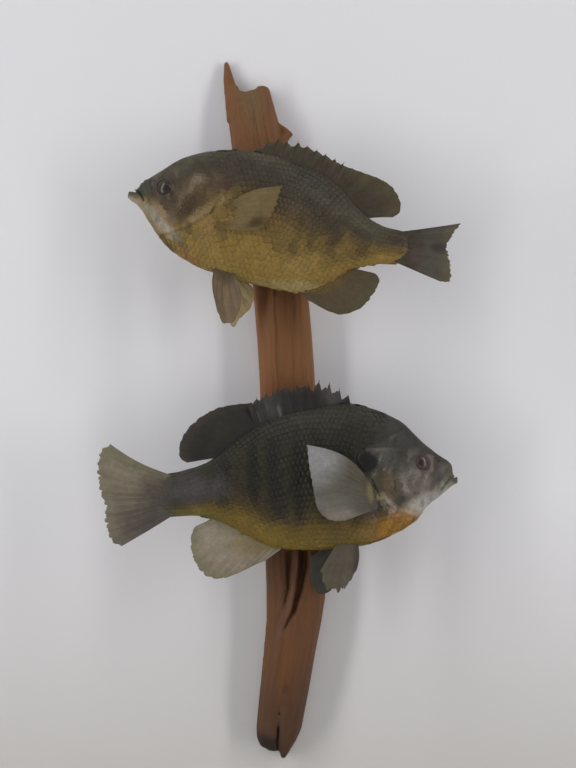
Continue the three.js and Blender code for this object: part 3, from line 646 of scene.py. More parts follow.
def skin_surface(fish, along, around):
    """Places on the finished skin and the outward directions of the plain form there."""
    here = plain_skin(fish, along, around)
    ahead = np.maximum(along - STEP_ALONG, fish["tip_at"] + 0.01)
    fore = plain_skin(fish, along + STEP_ALONG, around) - plain_skin(fish, ahead, around)
    turn = plain_skin(fish, along, around + STEP_ROUND) - plain_skin(fish, along, around - STEP_ROUND)
    out = np.cross(turn, fore)
    out /= np.linalg.norm(out, axis=-1, keepdims=True) + 1e-12
    outwards = np.stack([0 * along, here[..., 1], here[..., 2] - 3], -1)
    flip = np.sign(np.sum(out * outwards, -1, keepdims=True))
    out = out * np.where(flip == 0, 1, flip)
    lift = head_relief(fish, here[..., 0], here[..., 1], here[..., 2])
    calm = smooth(along, fish["tip_at"], fish["tip_at"] + 1.2)
    calm = calm * (1 - smooth(along, fish["stalk_end"] - 2, fish["stalk_end"] + 0.5))
    shrink = SKIN_UNDER * smooth(along, 1, 8)
    return here + out * (lift * calm - shrink)[..., None], out


def closed_tube(rings):
    """Points and faces of rings along a closed form, with one point at each end."""
    rows, columns = rings.shape[:2]
    points = np.vstack([rings.reshape(-1, 3), rings[0].mean(0), rings[-1].mean(0)])
    i = np.arange(rows - 1)[:, None] * columns
    k = np.arange(columns)
    after = (k + 1) % columns
    quads = np.stack([i + k, i + after, i + columns + after, i + columns + k], -1).reshape(-1, 4).tolist()
    last = (rows - 1) * columns
    front = np.stack([np.full(columns, len(points) - 2), after, k], -1).tolist()
    rear = np.stack([np.full(columns, len(points) - 1), last + k, last + after], -1).tolist()
    return points, quads + front + rear


def new_piece(name, points, faces, material, slot_name, **values):
    """A closed smooth piece on the root body, with its faces outwards."""
    mesh = bpy.data.meshes.new(name)
    mesh.from_pydata(points, [], faces)
    corners = np.array([face[:3] for face in faces])
    a, b, c = (points[corners[:, i]] for i in range(3))
    middle = points.mean(0)
    if np.sum((a - middle) * np.cross(b - middle, c - middle)) < 0:
        mesh.flip_normals()
    write_values(mesh, **values)
    mesh.shade_smooth()
    mesh.materials.append(material)
    made = placed(name, mesh)
    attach(made, "root")
    return made


BELLY_YELLOW = (116, 97, 41)
OLIVE_GOLD = (99, 81, 36)
OLIVE_BROWN = (68, 58, 35)
FLANK_DARK = (43, 41, 33)
FLANK_BLACK = (35, 34, 28)
# the back's olive, lightened by painted sheen from the light above
BACK_OLIVE_SHEEN = (62, 61, 53)
BAR_BLACK = (28, 27, 23)
BETWEEN_BARS = (62, 56, 38)
FACE_DARK = (58, 54, 52)
NAPE_DARK = (54, 51, 48)
EYE_RED = (100, 76, 74)
CHEEK_GREY = (106, 98, 91)
CHEEK_LIGHT = (140, 130, 117)
CHEEK_BROWN = (98, 84, 63)
COVER_OLIVE = (72, 68, 52)
COVER_GREEN = (60, 62, 54)
GREY_STREAK = (88, 90, 87)
JAW_OLIVE = (80, 82, 61)
CHIN_PALE = (142, 143, 132)
CHIN_WHITE = (170, 168, 162)
MEMBRANE_PINK = (156, 143, 134)
FIN_ROOT_YELLOW = (134, 126, 84)
FIN_ROOT_DARK = (84, 74, 70)
BREAST_ORANGE = (158, 112, 36)
BREAST_OCHRE = (128, 102, 51)
EAR_BLACK = (24, 24, 23)
STALK_GREY = (80, 75, 77)
STALK_YELLOW = (102, 96, 50)
STALK_ROOT = (77, 71, 65)
# The top stop is the back's olive, painted lighter along the top as painted sheen from the light above.
BLUEGILL["heights"] = [
    [0, BELLY_YELLOW], [0.13, OLIVE_GOLD], [0.27, OLIVE_BROWN], [0.4, FLANK_DARK], [0.58, FLANK_BLACK],
    [0.8, FLANK_DARK], [1, BACK_OLIVE_SHEEN],
]
BLUEGILL["height_shift"] = [[0, 0], [70, 0], [105, 0.03], [140, 0.17], [156, 0.1], [191, -0.1]]
BLUEGILL["bars"] = [[86, 5], [102, 4.5], [117, 4.5], [131, 4], [152, 4.5]]
BLUEGILL["bar_colours"] = [BAR_BLACK, BETWEEN_BARS]
BLUEGILL["marks"] = [
    # [x, z, half length, half height, tilt, strength, colour], laid on in this order
    [28, 28, 20, 10, 42, 0.9, NAPE_DARK],
    [8, 13, 10, 6, 40, 0.9, NAPE_DARK],
    [47, 19, 7, 8, 0, 0.7, GREY_STREAK],
    [30, 1, 15, 12, 0, 0.85, CHEEK_GREY],
    [11, 11.6, 6.4, 4.4, 40, 0.6, FACE_DARK],
    [17.2, 11.6, 4.6, 4.4, 20, 0.75, EYE_RED],
    [55, 2, 8, 8, 40, 0.8, COVER_OLIVE],
    [44, -1, 5, 9, -15, 0.8, CHEEK_BROWN],
    [40, 17, 3.4, 8, 0, 0.6, COVER_GREEN],
    [34, -2, 1.9, 6, -10, 0.75, CHEEK_LIGHT],
    [24, -6, 5, 3.2, 0, 0.45, CHEEK_LIGHT],
    [20, 0.2, 2.6, 4.4, 24, 0.7, CHEEK_LIGHT],
    [15.5, -5.6, 1.5, 5, -28, 0.6, GREY_STREAK],
    [27, -7.4, 3, 2.2, 0, 0.6, GREY_STREAK],
    [28, 9, 2, 5, 0, 0.5, GREY_STREAK],
    [10, -7, 12, 4.6, -38, 0.85, CHIN_PALE],
    [5.5, 6, 4.5, 5, 40, 0.6, CHEEK_GREY],
    [3.4, 5.4, 2.4, 5.6, 10, 0.85, JAW_OLIVE],
    [-0.8, 0, 2.8, 2.4, 0, 0.9, FACE_DARK],
    [24, -15.8, 15, 5.6, -22, 0.95, CHIN_WHITE],
    [38.6, -11, 3.4, 2.4, -40, 0.8, FACE_DARK],
    [44.5, -13.5, 2.6, 7.5, -38, 0.9, MEMBRANE_PINK],
    [57, -13, 6, 8, 0, 0.85, FIN_ROOT_DARK],
    [52.5, -7.6, 5, 2.2, -12, 0.9, FIN_ROOT_YELLOW],
    [54, -31, 11, 7, -16, 0.8, BREAST_OCHRE],
    [40, -27.3, 13.5, 7.4, -26, 1.0, BREAST_ORANGE],
    [47, 30, 8, 4, -28, 0.8, FACE_DARK],
    [48.5, 23, 8, 1.1, 3, 0.6, CHEEK_GREY],
    [40.5, 30.3, 3, 1.2, -50, 0.5, GREY_STREAK],
    [70, -33, 18, 5, -6, 0.12, CHEEK_GREY],
    [120, -14, 10, 8, 0, 0.5, FLANK_DARK],
    [122, 0, 22, 13, 0, 0.45, BAR_BLACK],
    [154, 5, 6, 8, 0, 0.45, STALK_GREY],
    [174, 3, 15, 8, 0, 0.85, STALK_GREY],
    [172, -14, 18, 3.2, 6, 0.9, STALK_YELLOW],
    [196, 0, 10, 26, 0, 0.95, STALK_ROOT],
]
BLUEGILL["ear_colour"] = EAR_BLACK
BLUEGILL["dried"] = [CHEEK_LIGHT, FACE_DARK]  # what the dried skin of the face is mottled with
BAR_WANDER = 2.2  # how far a bar strays from upright
BAR_STRENGTH, BETWEEN_STRENGTH = 0.6, 0.32
MARK_RAGGED = 0.12  # how uneven a mark's edge is
DRIED_PALE, DRIED_DARK = 0.4, 0.35
EAR_STRENGTH = 0.95


def painted(fish, x, z, speckle=1.0):
    """The linear colour of skin and scales at a place on the flank."""
    back, belly = through(fish["back"])(x), through(fish["belly"])(x)
    share = np.clip((z - belly) / (back - belly), 0, 1) - through(fish["height_shift"])(x)
    spot = np.stack([x, z, 0 * x], -1)
    share = share + 0.035 * cloud(spot, (9, 9, 9), 31) + 0.02 * cloud(spot, (3, 3, 3), 32)
    stops = fish["heights"]
    heights = [stop[0] for stop in stops]
    shades = np.array([linear(stop[1]) for stop in stops])
    colour = np.stack([np.interp(share, heights, shades[:, i]) for i in range(3)], -1)
    wander = BAR_WANDER * cloud(spot, (14, 14, 14), 33)
    bar = np.max([np.exp(-(((x + wander - at) / half) ** 4)) for at, half in fish["bars"]], axis=0)
    first, last = fish["bars"][0], fish["bars"][-1]
    shown = smooth(share, *fish.get("bar_low", (0.12, 0.26))) * (1 - smooth(share, 0.6, 0.9))
    shown = shown * smooth(x, first[0] - 14, first[0]) * (1 - smooth(x, last[0] + 5, last[0] + 12))
    dark, light = fish["bar_colours"]
    colour = blend(colour, dark, BAR_STRENGTH * bar * shown)
    colour = blend(colour, light, BETWEEN_STRENGTH * (1 - bar) * shown)
    for cx, cz, long, tall, tilt, strength, shade in fish["marks"]:
        c, s = math.cos(math.radians(tilt)), math.sin(math.radians(tilt))
        dx, dz = x - cx, z - cz
        reach = np.hypot((dx * c + dz * s) / long, (dz * c - dx * s) / tall)
        reach = reach + MARK_RAGGED * cloud(spot, (4, 4, 4), 34)
        colour = blend(colour, shade, strength * np.exp(-0.7 * np.clip(reach, 0, 9) ** 3))
    face = smooth(x, 8, 16) * (1 - smooth(x, 50, 62)) * (1 - smooth(z, 15, 25))
    dried = cloud(np.stack([x + 0.5 * z, z - 0.5 * x, 0 * x], -1), (2.4, 6.5, 5), 38)
    pale, dark = fish["dried"]
    colour = blend(colour, pale, DRIED_PALE * face * smooth(dried, 0.2, 0.7))
    colour = blend(colour, dark, DRIED_DARK * face * smooth(-dried, 0.25, 0.75))
    ear = 1 - smooth(ear_reach(fish, x, z), 0.66, 1.18)
    colour = blend(colour, fish["ear_colour"], EAR_STRENGTH * ear)
    mottle = 0.1 * cloud(spot, (2.2, 2.2, 2.2), 35) + 0.07 * cloud(spot, (0.9, 0.9, 0.9), 36)
    mottle = 1 + speckle * mottle + 0.11 * cloud(spot, (4.5, 6.5, 6.5), 37)
    return colour * mottle[..., None]


def skin_material(name):
    """Painted and varnished skin, freckled and a little leathery."""
    made, tree, shader = finish(name, 0.5, coat=0.05, coat_roughness=0.3, specular=0.2)
    place = own_place(tree)
    freckle = noise(tree, place, 1300.0, 3.0)
    cast = noise(tree, place, 240.0, 3.0)
    shade_paint(tree, shader, stretched(tree, freckle, 0.8, 1.18), stretched(tree, cast, 0.9, 1.1))
    vary_gloss(tree, shader, cast, 0.44, 0.64)
    bumped(tree, shader, freckle, 0.35, 0.22 * MM)
    return made


def skin_piece(name, fish, material, slot_name):
    """A whole skin, closed at the lips and at the end of the tail stalk, finest over the head."""
    tip = fish["tip_at"]
    nose = tip + 0.04 + np.geomspace(0.01, 0.9, 5) * 0.5
    fine = np.arange(tip + 0.8, FINE_TO, FINE_STEP)
    coarse = np.arange(FINE_TO, fish["stalk_end"] + END_RINGS[0], COARSE_STEP)
    along = np.concatenate([nose, fine, coarse, fish["stalk_end"] + np.array(END_RINGS)])
    around = np.arange(AROUND) / AROUND
    grid_a, grid_t = np.meshgrid(along, around, indexing="ij")
    rings, _ = skin_surface(fish, grid_a, grid_t)
    points, faces = closed_tube(rings)
    paint = painted(fish, points[:, 0], points[:, 2])
    return new_piece(name, posed(fish, points), faces, material, slot_name, paint=paint)


bluegill_skin = skin_piece("bluegill_skin", BLUEGILL, skin_material("olive_skin"), "flank_skin")
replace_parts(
    bluegill_skin, "head", "lower_jaw", "gill_cover_right", "gill_cover_left", "trunk", "tail_stalk"
)

# ---------- The bluegill's scales ----------
# Thin horny plates, rooted in front and overlapping rearwards like roof tiles, in rows that follow the
# lateral line. They are smaller on the tail stalk and smallest on the cheek and gill cover.
TRUNK_ROW, TRUNK_PITCH = 4.0, 3.1  # from row to row, and from scale to scale in a row
CHEEK_ROW, CHEEK_PITCH = 2.4, 1.9
TRUNK_FROM = 20  # how far back the trunk's rows start; they end with the stalk
CHEEK_FROM, CHEEK_TO = 16, 66
ROW_STEP = 0.25  # how finely the rows are measured out
SCALE_TAPER = [[40, 0.9], [70, 1], [110, 1], [191, 0.6]]  # size along the body
SCALE_LENGTH = 1.62  # in pitches, with the part that lies under the scale in front
SCALE_WIDTH = 1.22  # in rows
SCALE_LIFT = 0.13
SCALE_THICK = 0.42  # in lifts
SCALE_TURN = 0.07  # how far a scale may be turned from its lie, in radians
SCALE_SPECKLE = 0.35  # how far neighbours differ in tone, as a share of the skin's speckle
SCALE_STEP = 0.6  # how far rearwards a scale looks for its lie
FLANK_TURNS = np.linspace(-89.5, 89.5, 120) / 360  # from the belly's line to the back's, in turns
CLEAR_OF_EDGE = 0.8  # no scale stands this near to the back's or the belly's line
CLEAR_OF_EYE = 8
CLEAR_OF_GILL_EDGE, CLEAR_OF_CHEEK_EDGE = 1.5, 1.6
COVER_SCALES_LOW, COVER_SCALES_HIGH = -8, 26
PLATE_ROWS = 4
PLATE_ACROSS = [-0.5, -0.3, 0, 0.3, 0.5]
PATCH = 0.003  # each scale's share of the unwrap


def scale_plate():
    """One scale: rooted at the origin, running along x, rounded behind and domed, about one unit long."""
    grid_u, grid_v = np.meshgrid(np.linspace(0, 1, PLATE_ROWS), PLATE_ACROSS, indexing="ij")
    u, v = grid_u.ravel(), grid_v.ravel()
    x = -0.35 + u * (1.2 - 0.42 * (2 * v) ** 2 * u)
    y = v * (0.84 + 0.32 * u - 0.22 * u**2)
    z = -0.5 + 1.6 * u - 0.25 * u**2 - 0.55 * (2 * v) ** 2 * (0.35 + 0.3 * u)
    top = np.stack([x, y, z], 1)
    wide = len(PLATE_ACROSS)
    last = len(top) - wide
    rim = [*range(wide - 1), *range(wide - 1, len(top), wide)]
    rim += [*range(len(top) - 2, last, -1), *range(last, 0, -wide)]
    under = top[rim] - [0, 0, SCALE_THICK]
    starts = [i * wide + k for i in range(PLATE_ROWS - 1) for k in range(wide - 1)]
    faces = [(a, a + wide, a + wide + 1, a + 1) for a in starts]
    below = range(len(top), len(top) + len(rim))
    for k, after in zip(range(len(rim)), [*range(1, len(rim)), 0]):
        faces.append((rim[k], rim[after], below[after], below[k]))
    faces.append(tuple(below))
    points = np.vstack([top, under])
    mesh = bpy.data.meshes.new("scale_plate")
    mesh.from_pydata(points, [], faces)
    at = np.vstack([np.stack([u, v + 0.5, 0 * u], 1), np.stack([u[rim], v[rim] + 0.5, 0 * u[rim]], 1)])
    mesh.attributes.new("plate_at", "FLOAT_VECTOR", "POINT").data.foreach_set("vector", at.ravel())
    mesh.shade_smooth()
    square_rim = [False] * len(starts) + [True] * (len(faces) - len(starts))
    mesh.attributes.new("sharp_face", "BOOLEAN", "FACE").data.foreach_set("value", square_rim)
    made = placed("scale_plate", mesh)
    made.hide_render = True
    return made


def inlet(tree, name, kind, value=None):
    """A named input of a tree."""
    socket = tree.interface.new_socket(name, in_out="INPUT", socket_type=kind)
    if value is not None:
        socket.default_value = value


def named(tree, name, kind):
    """A value that is stored on the shape."""
    made = add(tree, "GeometryNodeInputNamedAttribute", data_type=kind)
    made.inputs["Name"].default_value = name
    return made.outputs["Attribute"]


def give_out(tree, shape, material):
    """Ends a tree: the finished shape in its material."""
    dressed = add(tree, "GeometryNodeSetMaterial", {"Geometry": shape, "Material": material})
    out = add(tree, "NodeGroupOutput")
    tree.links.new(dressed.outputs[0], out.inputs["Geometry"])


def scale_tree():
    """Stands a plate on every root, turned along its lie, and gives each its patch of the skin's unwrap."""
    tree = bpy.data.node_groups.new("scales_on_skin", "GeometryNodeTree")
    tree.interface.new_socket("Geometry", in_out="OUTPUT", socket_type="NodeSocketGeometry")
    inlet(tree, "Roots", "NodeSocketGeometry")
    inlet(tree, "Plate", "NodeSocketObject")
    inlet(tree, "Turn", "NodeSocketFloat", SCALE_TURN)
    inlet(tree, "Seed", "NodeSocketInt", 7)
    inlet(tree, "Material", "NodeSocketMaterial")
    given = add(tree, "NodeGroupInput").outputs
    plate = add(tree, "GeometryNodeObjectInfo", {"Object": given["Plate"]}).outputs["Geometry"]
    outward = named(tree, "outward", "FLOAT_VECTOR")
    stand = add(tree, "FunctionNodeAlignRotationToVector", {"Vector": outward}, axis="Z").outputs[0]
    lie = {"Rotation": stand, "Vector": named(tree, "lie", "FLOAT_VECTOR")}
    along = add(tree, "FunctionNodeAlignRotationToVector", lie, axis="X", pivot_axis="Z").outputs[0]
    least = add(tree, "ShaderNodeMath", {0: given["Turn"], 1: -1.0}, operation="MULTIPLY").outputs[0]
    limits = {"Min": least, "Max": given["Turn"], "Seed": given["Seed"]}
    stray = add(tree, "FunctionNodeRandomValue", limits, data_type="FLOAT")
    spin = add(tree, "FunctionNodeAxisAngleToRotation", {"Angle": stray.outputs[1]}).outputs[0]
    turned = add(tree, "FunctionNodeRotateRotation", {0: along, 1: spin}, rotation_space="LOCAL").outputs[0]
    size = named(tree, "size", "FLOAT_VECTOR")
    each = {"Points": given["Roots"], "Instance": plate, "Rotation": turned, "Scale": size}
    stood = add(tree, "GeometryNodeInstanceOnPoints", each).outputs[0]
    real = add(tree, "GeometryNodeRealizeInstances", {"Geometry": stood}).outputs[0]
    on_plate, on_fish = named(tree, "plate_at", "FLOAT_VECTOR"), named(tree, "root_at", "FLOAT_VECTOR")
    spread = {0: on_plate, 1: (PATCH, PATCH, 0), 2: on_fish}
    patch = add(tree, "ShaderNodeVectorMath", spread, operation="MULTIPLY_ADD").outputs[0]
    kept = {"Geometry": real, "Name": "OFBake"}
    store = add(tree, "GeometryNodeStoreNamedAttribute", kept, data_type="FLOAT2", domain="CORNER")
    tree.links.new(patch, store.inputs["Value"])
    give_out(tree, store.outputs[0], given["Material"])
    return tree


def made_by(tree, geometry_object, **inputs):
    """Runs a Geometry Nodes tree on an object and keeps its result as a plain mesh."""
    modifier = geometry_object.modifiers.new("grow", "NODES")
    modifier.node_group = tree
    for item in tree.interface.items_tree:
        if item.item_type == "SOCKET" and item.in_out == "INPUT" and item.name in inputs:
            modifier[item.identifier] = inputs[item.name]
    baked(geometry_object)


def scale_roots(fish, row, pitch, lift, start, stop, keep):
    """Roots of scales on both flanks, in staggered rows that run beside the lateral line."""
    taper = through(SCALE_TAPER)
    fine = np.arange(start, stop, ROW_STEP)
    run = np.cumsum(ROW_STEP / taper(fine))
    columns = np.interp(np.arange(0, run[-1], pitch / 2), run, fine)
    found = []
    for turn in (FLANK_TURNS, 0.5 - FLANK_TURNS):

        def arcs(x):
            a, t = np.meshgrid(x, turn, indexing="ij")
            p = plain_skin(fish, a, t)
            step = np.linalg.norm(np.diff(p, axis=1), axis=2)
            arc = np.concatenate([np.zeros((len(x), 1)), np.cumsum(step, axis=1)], 1)
            level = through(fish["lateral_line"])(x)
            zero = [np.interp(level[i], p[i, :, 2], arc[i]) for i in range(len(x))]
            return arc - np.array(zero)[:, None]

        here, after = arcs(columns), arcs(columns + SCALE_STEP)
        for i, x in enumerate(columns):
            size = taper(x)
            j = np.arange(-40, 40)
            j = j[(j + i) % 2 == 0]
            away = j * row * size
            inside = (away > here[i, 0] + CLEAR_OF_EDGE) & (away < here[i, -1] - CLEAR_OF_EDGE)
            away = away[inside]
            t0 = np.interp(away, here[i], turn)
            t1 = np.interp(away * taper(x + SCALE_STEP) / size, after[i], turn)
            found.append(np.stack([np.full(len(away), x), t0, t1, np.full(len(away), size)], 1))
    x, t0, t1, size = np.vstack(found).T
    at, out = skin_surface(fish, x, t0)
    kept = keep(at[:, 0], at[:, 2])
    x, t0, t1, size, at, out = (values[kept] for values in (x, t0, t1, size, at, out))
    ahead, _ = skin_surface(fish, x + SCALE_STEP, t1)
    lie = ahead - at
    lie /= np.linalg.norm(lie, axis=1, keepdims=True)
    unwrap = np.stack([x / (fish["stalk_end"] + 4), (t0 + 0.25) % 1, 0 * x], 1)
    spread = np.stack([size * pitch * SCALE_LENGTH, size * row * SCALE_WIDTH, size * SCALE_LIFT * lift], 1)
    return {"at": at, "outward": out, "lie": lie, "size": spread, "root_at": unwrap}


def behind(path, x, z):
    """True for places on the tail's side of a line that runs from above to below."""
    away, side = from_line(path, x, z)
    return (side > 0) & (away > 0.6)


def on_trunk(fish):
    """A test for places behind the nape and the gill cover."""
    edge = [*fish["nape_edge"][:-1], *fish["gill_edge"][2:], [12, -30]]

    def keep(x, z):
        return behind(edge, x, z)

    return keep


def on_cheek(fish):
    """A test for places on the cheek and the gill cover that are clear of the eye and the ear flap."""
    cx, cz, across, tall = fish["cheek_bulge"]

    def keep(x, z):
        eye = np.hypot(x - fish["eye"]["x"], z - fish["eye"]["z"])
        cheek = (np.hypot((x - cx - 1) / across, (z - cz) / (tall + 1)) < 0.95) & (eye > CLEAR_OF_EYE)
        edge, side = from_line(fish["cheek_edge"], x, z)
        rear, cover = from_line(fish["gill_edge"], x, z)
        flap = fish["ear_flap"]
        clear_of_ear = np.hypot(x - flap[0], z - flap[1]) > flap[2]
        on_cover = (side > 0) & (edge > CLEAR_OF_CHEEK_EDGE) & (cover < 0) & (rear > CLEAR_OF_GILL_EDGE)
        on_cover = on_cover & (z < COVER_SCALES_HIGH) & (z > COVER_SCALES_LOW)
        return (cheek & ((side < 0) | (edge < 0.1))) | (on_cover & clear_of_ear)

    return keep


def scale_material(name):
    """Horn with growth rings, painted darker where the scale in front covers it, as painted shade, and a
    little lighter near its rear rim.
    """
    made, tree, shader = finish(name, 0.5, coat=0.05, coat_roughness=0.3, specular=0.2)
    at = add(tree, "ShaderNodeAttribute", attribute_name="plate_at").outputs["Vector"]
    along = add(tree, "ShaderNodeSeparateXYZ", {0: at}).outputs["X"]
    place = own_place(tree)
    cast = noise(tree, place, 520.0, 3.0)
    speck = noise(tree, place, 2600.0, 2.0)
    # The first shade is painted shade: darkest at the root, under the scale in front, and a little lighter
    # near the rear rim.
    shade_paint(
        tree, shader, stretched(tree, along, 0.93, 1.03, 0.3, 0.95), stretched(tree, cast, 0.9, 1.1),
        stretched(tree, speck, 0.9, 1.08, 0.35, 0.65),
    )
    vary_gloss(tree, shader, cast, 0.44, 0.64)
    rings = add(tree, "ShaderNodeVectorMath", {0: at, 1: (0.1, 0.5, 0)}, operation="DISTANCE")
    wave = add(tree, "ShaderNodeMath", {0: rings.outputs["Value"], 1: 60.0}, operation="MULTIPLY").outputs[0]
    ripple = add(tree, "ShaderNodeMath", {0: wave}, operation="SINE").outputs[0]
    bumped(tree, shader, ripple, 0.2, 0.05 * MM)
    return made


def scales(name, fish, roots, tree, plate, material):
    """Scales grown on roots that are carried from the straight fish to its pose."""
    at = roots["at"]
    base = posed(fish, at)
    out = posed(fish, at + 0.5 * roots["outward"]) - base
    lie = posed(fish, at + 0.5 * roots["lie"]) - base
    out /= np.linalg.norm(out, axis=1, keepdims=True)
    mesh = bpy.data.meshes.new(name)
    mesh.from_pydata(base, [], [])
    rows = {"outward": out, "lie": lie, "size": roots["size"] * MM, "root_at": roots["root_at"]}
    for key, values in rows.items():
        mesh.attributes.new(key, "FLOAT_VECTOR", "POINT").data.foreach_set("vector", values.ravel())
    write_values(mesh, paint=painted(fish, at[:, 0] + 1, at[:, 2], SCALE_SPECKLE))
    made = placed(name, mesh)
    made_by(tree, made, Plate=plate, Material=material)
    for key in rows:
        if key in made.data.attributes:
            made.data.attributes.remove(made.data.attributes[key])
    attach(made, "root")


plate = scale_plate()
tree_of_scales = scale_tree()
horn = scale_material("scale_horn")


def scale_fish(prefix, fish, cheek_lift):
    """Scales on the trunk and the stalk, then the small ones on the cheek and the gill cover."""
    stop = fish["stalk_end"] + 1
    roots = scale_roots(fish, TRUNK_ROW, TRUNK_PITCH, 1.0, TRUNK_FROM, stop, on_trunk(fish))
    scales(prefix + "scales", fish, roots, tree_of_scales, plate, horn)
    roots = scale_roots(fish, CHEEK_ROW, CHEEK_PITCH, cheek_lift, CHEEK_FROM, CHEEK_TO, on_cheek(fish))
    scales(prefix + "cheek_scales", fish, roots, tree_of_scales, plate, horn)


scale_fish("bluegill_", BLUEGILL, 0.55)

# ---------- The bluegill's eyes ----------
# Glass eyes set into the sockets: a shallow dome over a painted iris, dark red-brown with a dull inner
# ring and a pupil that is darker still.
PUPIL = 2.3
IRIS_DARK = (65, 54, 53)
IRIS_RED = (67, 51, 50)
IRIS_GOLD = (71, 55, 54)
IRIS_EDGE = (3.4, 4.5)  # where the iris darkens towards its rim
EYE_RINGS = 40
EYE_ROUND = 72
PUPIL_RED = (50, 34, 34)
BLUEGILL["iris"] = [IRIS_DARK, IRIS_RED, IRIS_GOLD, PUPIL_RED]
BLUEGILL["eye"]["look"] = (0.8, 0.7)  # the pupil is painted off the middle, up and back


def flank_width(fish, x, z):
    """The flank's distance from the middle plane at a place on the side."""
    back, belly = through(fish["back"])(x), through(fish["belly"])(x)
    middle = min(through(fish["widest_at"])(x), back - 1)
    rise = back - middle if z > middle else middle - belly
    share = min(abs(z - middle) / rise, 1)
    return through(fish["half_width"])(x) * (1 - share**2) ** through(fish["keel"])(x)


def eyeball(name, fish, side, material, *nodes):
    """A dome that leans with the flank round it."""
    eye = fish["eye"]
    eye_x, eye_z = eye["x"], eye["z"]
    tilt = np.linspace(0.02, np.pi - 0.02, EYE_RINGS)[:, None]
    turn = np.linspace(0, 2 * np.pi, EYE_ROUND, endpoint=False)[None, :]
    radius = eye["radius"] * np.sin(tilt) * np.ones_like(turn)
    level = eye["depth"] * np.cos(tilt) * np.ones_like(turn)
    here = flank_width(fish, eye_x, eye_z)
    x = eye_x + radius * np.cos(turn)
    z = eye_z + radius * np.sin(turn)
    lean = (flank_width(fish, eye_x + 2, eye_z) - flank_width(fish, eye_x - 2, eye_z)) / 4
    rise = (flank_width(fish, eye_x, eye_z + 2) - flank_width(fish, eye_x, eye_z - 2)) / 4
    y = side * (here + lean * (x - eye_x) + rise * (z - eye_z) + eye["proud"] - eye["depth"] + level)
    points, faces = closed_tube(np.stack([x, y, z], -1))
    look_x, look_z = eye.get("look", (0, 0))
    away = np.hypot(points[:, 0] - eye_x - look_x, points[:, 2] - eye_z - look_z)
    angle = np.arctan2(points[:, 2] - eye_z, points[:, 0] - eye_x)
    outer, red, gold, pupil = fish["iris"]
    colour = np.tile(linear(red), (len(points), 1))
    streak = cloud(np.stack([3 * np.cos(angle), 3 * np.sin(angle), away / 6], 1), (0.35, 0.35, 1), 41)
    colour = blend(colour, outer, np.clip(0.4 + 0.5 * streak, 0, 1))
    colour = blend(colour, outer, 0.9 * smooth(away, *IRIS_EDGE))
    colour = blend(colour, gold, 0.3 * fold(away - PUPIL, 0.28, 0.28))
    colour = blend(colour, pupil, 1 - smooth(away, PUPIL - 0.7, PUPIL + 0.5))
    made = new_piece(name, posed(fish, points), faces, material, "glass_eye", paint=colour)
    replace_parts(made, *nodes)


glass, tree, shader = finish("eye_glass", 0.3, coat=0.25, coat_roughness=0.12, specular=0.25)
fleck = noise(tree, own_place(tree), 2400.0, 2.0)
shade_paint(tree, shader, stretched(tree, fleck, 0.75, 1.25, 0, 1))
eyeball("bluegill_eye_right", BLUEGILL, 1, glass, "eye_right")
eyeball("bluegill_eye_left", BLUEGILL, -1, glass, "eye_left")

# ---------- The bluegill's fins ----------
# Dried fins: a skin as thin as paper between bony rays that fork towards the margin, stiff and a little
# rippled, with frayed edges. The front fin of the back, the anal and the pelvic fins have bony spines.
COLUMNS_PER_RAY = 12
FIN_ROWS = 30
FIN_ROOT = 3  # the fin starts this far inside the body
RAY_JOINTS = 26
RAY_FORK = 0.17  # how far a ray's two branches part, as a share of the gap between rays
RAY_TWIG = 0.075  # the same for the branches of each branch
RAY_PROUD = 0.36
WEB_HALF = 0.22
SPINE_POINTS = 10
SPINE_TAPER = 0.82  # how much of a spine's thickness is lost by its tip
PLEAT = 0.8  # how far the web between two spines is folded aside
SPINE_ROUND = 7
FIN_BLACK = (41, 38, 37)
FIN_BROWN = (66, 59, 55)
WEB_PURPLE = (84, 78, 80)
WEB_GLINT = (108, 109, 112)
WEB_GREY = (78, 78, 75)
WEB_DARK = (58, 53, 53)
FIN_DUSK = (50, 48, 42)
FIN_DUSK_RAY = (56, 52, 46)
FIN_TAN = (128, 118, 102)
FIN_PALE = (144, 135, 121)
FIN_OLIVE = (116, 112, 88)
FIN_GOLD = (126, 106, 68)
FIN_SMOKE = (78, 72, 70)
TAIL_TAN = (104, 95, 81)
TAIL_RAY = (124, 115, 100)
TAIL_RIM = (122, 116, 98)
TAIL_PALE = (136, 127, 110)
PECTORAL_CLEAR = (99, 97, 90)
# the pectoral's pale web with a painted highlight on it
PECTORAL_PALE_AND_HIGHLIGHT = (150, 148, 150)
PECTORAL_WARM = (132, 121, 109)
PECTORAL_BROWN = (82, 74, 60)
PECTORAL_GREEN = (90, 88, 76)
PELVIC_BROWN = (86, 79, 65)
PELVIC_TEAL = (52, 49, 42)
PELVIC_SMOKE = (60, 57, 52)


def at_back(fish, start, stop):
    """A fin's base along the back, set into the body."""
    x = np.linspace(start, stop, 5)
    return np.stack([x, through(fish["back"])(x) - FIN_ROOT], 1)


def at_belly(fish, start, stop):
    """A fin's base along the belly, set into the body."""
    x = np.linspace(start, stop, 5)
    return np.stack([x, through(fish["belly"])(x) + FIN_ROOT], 1)


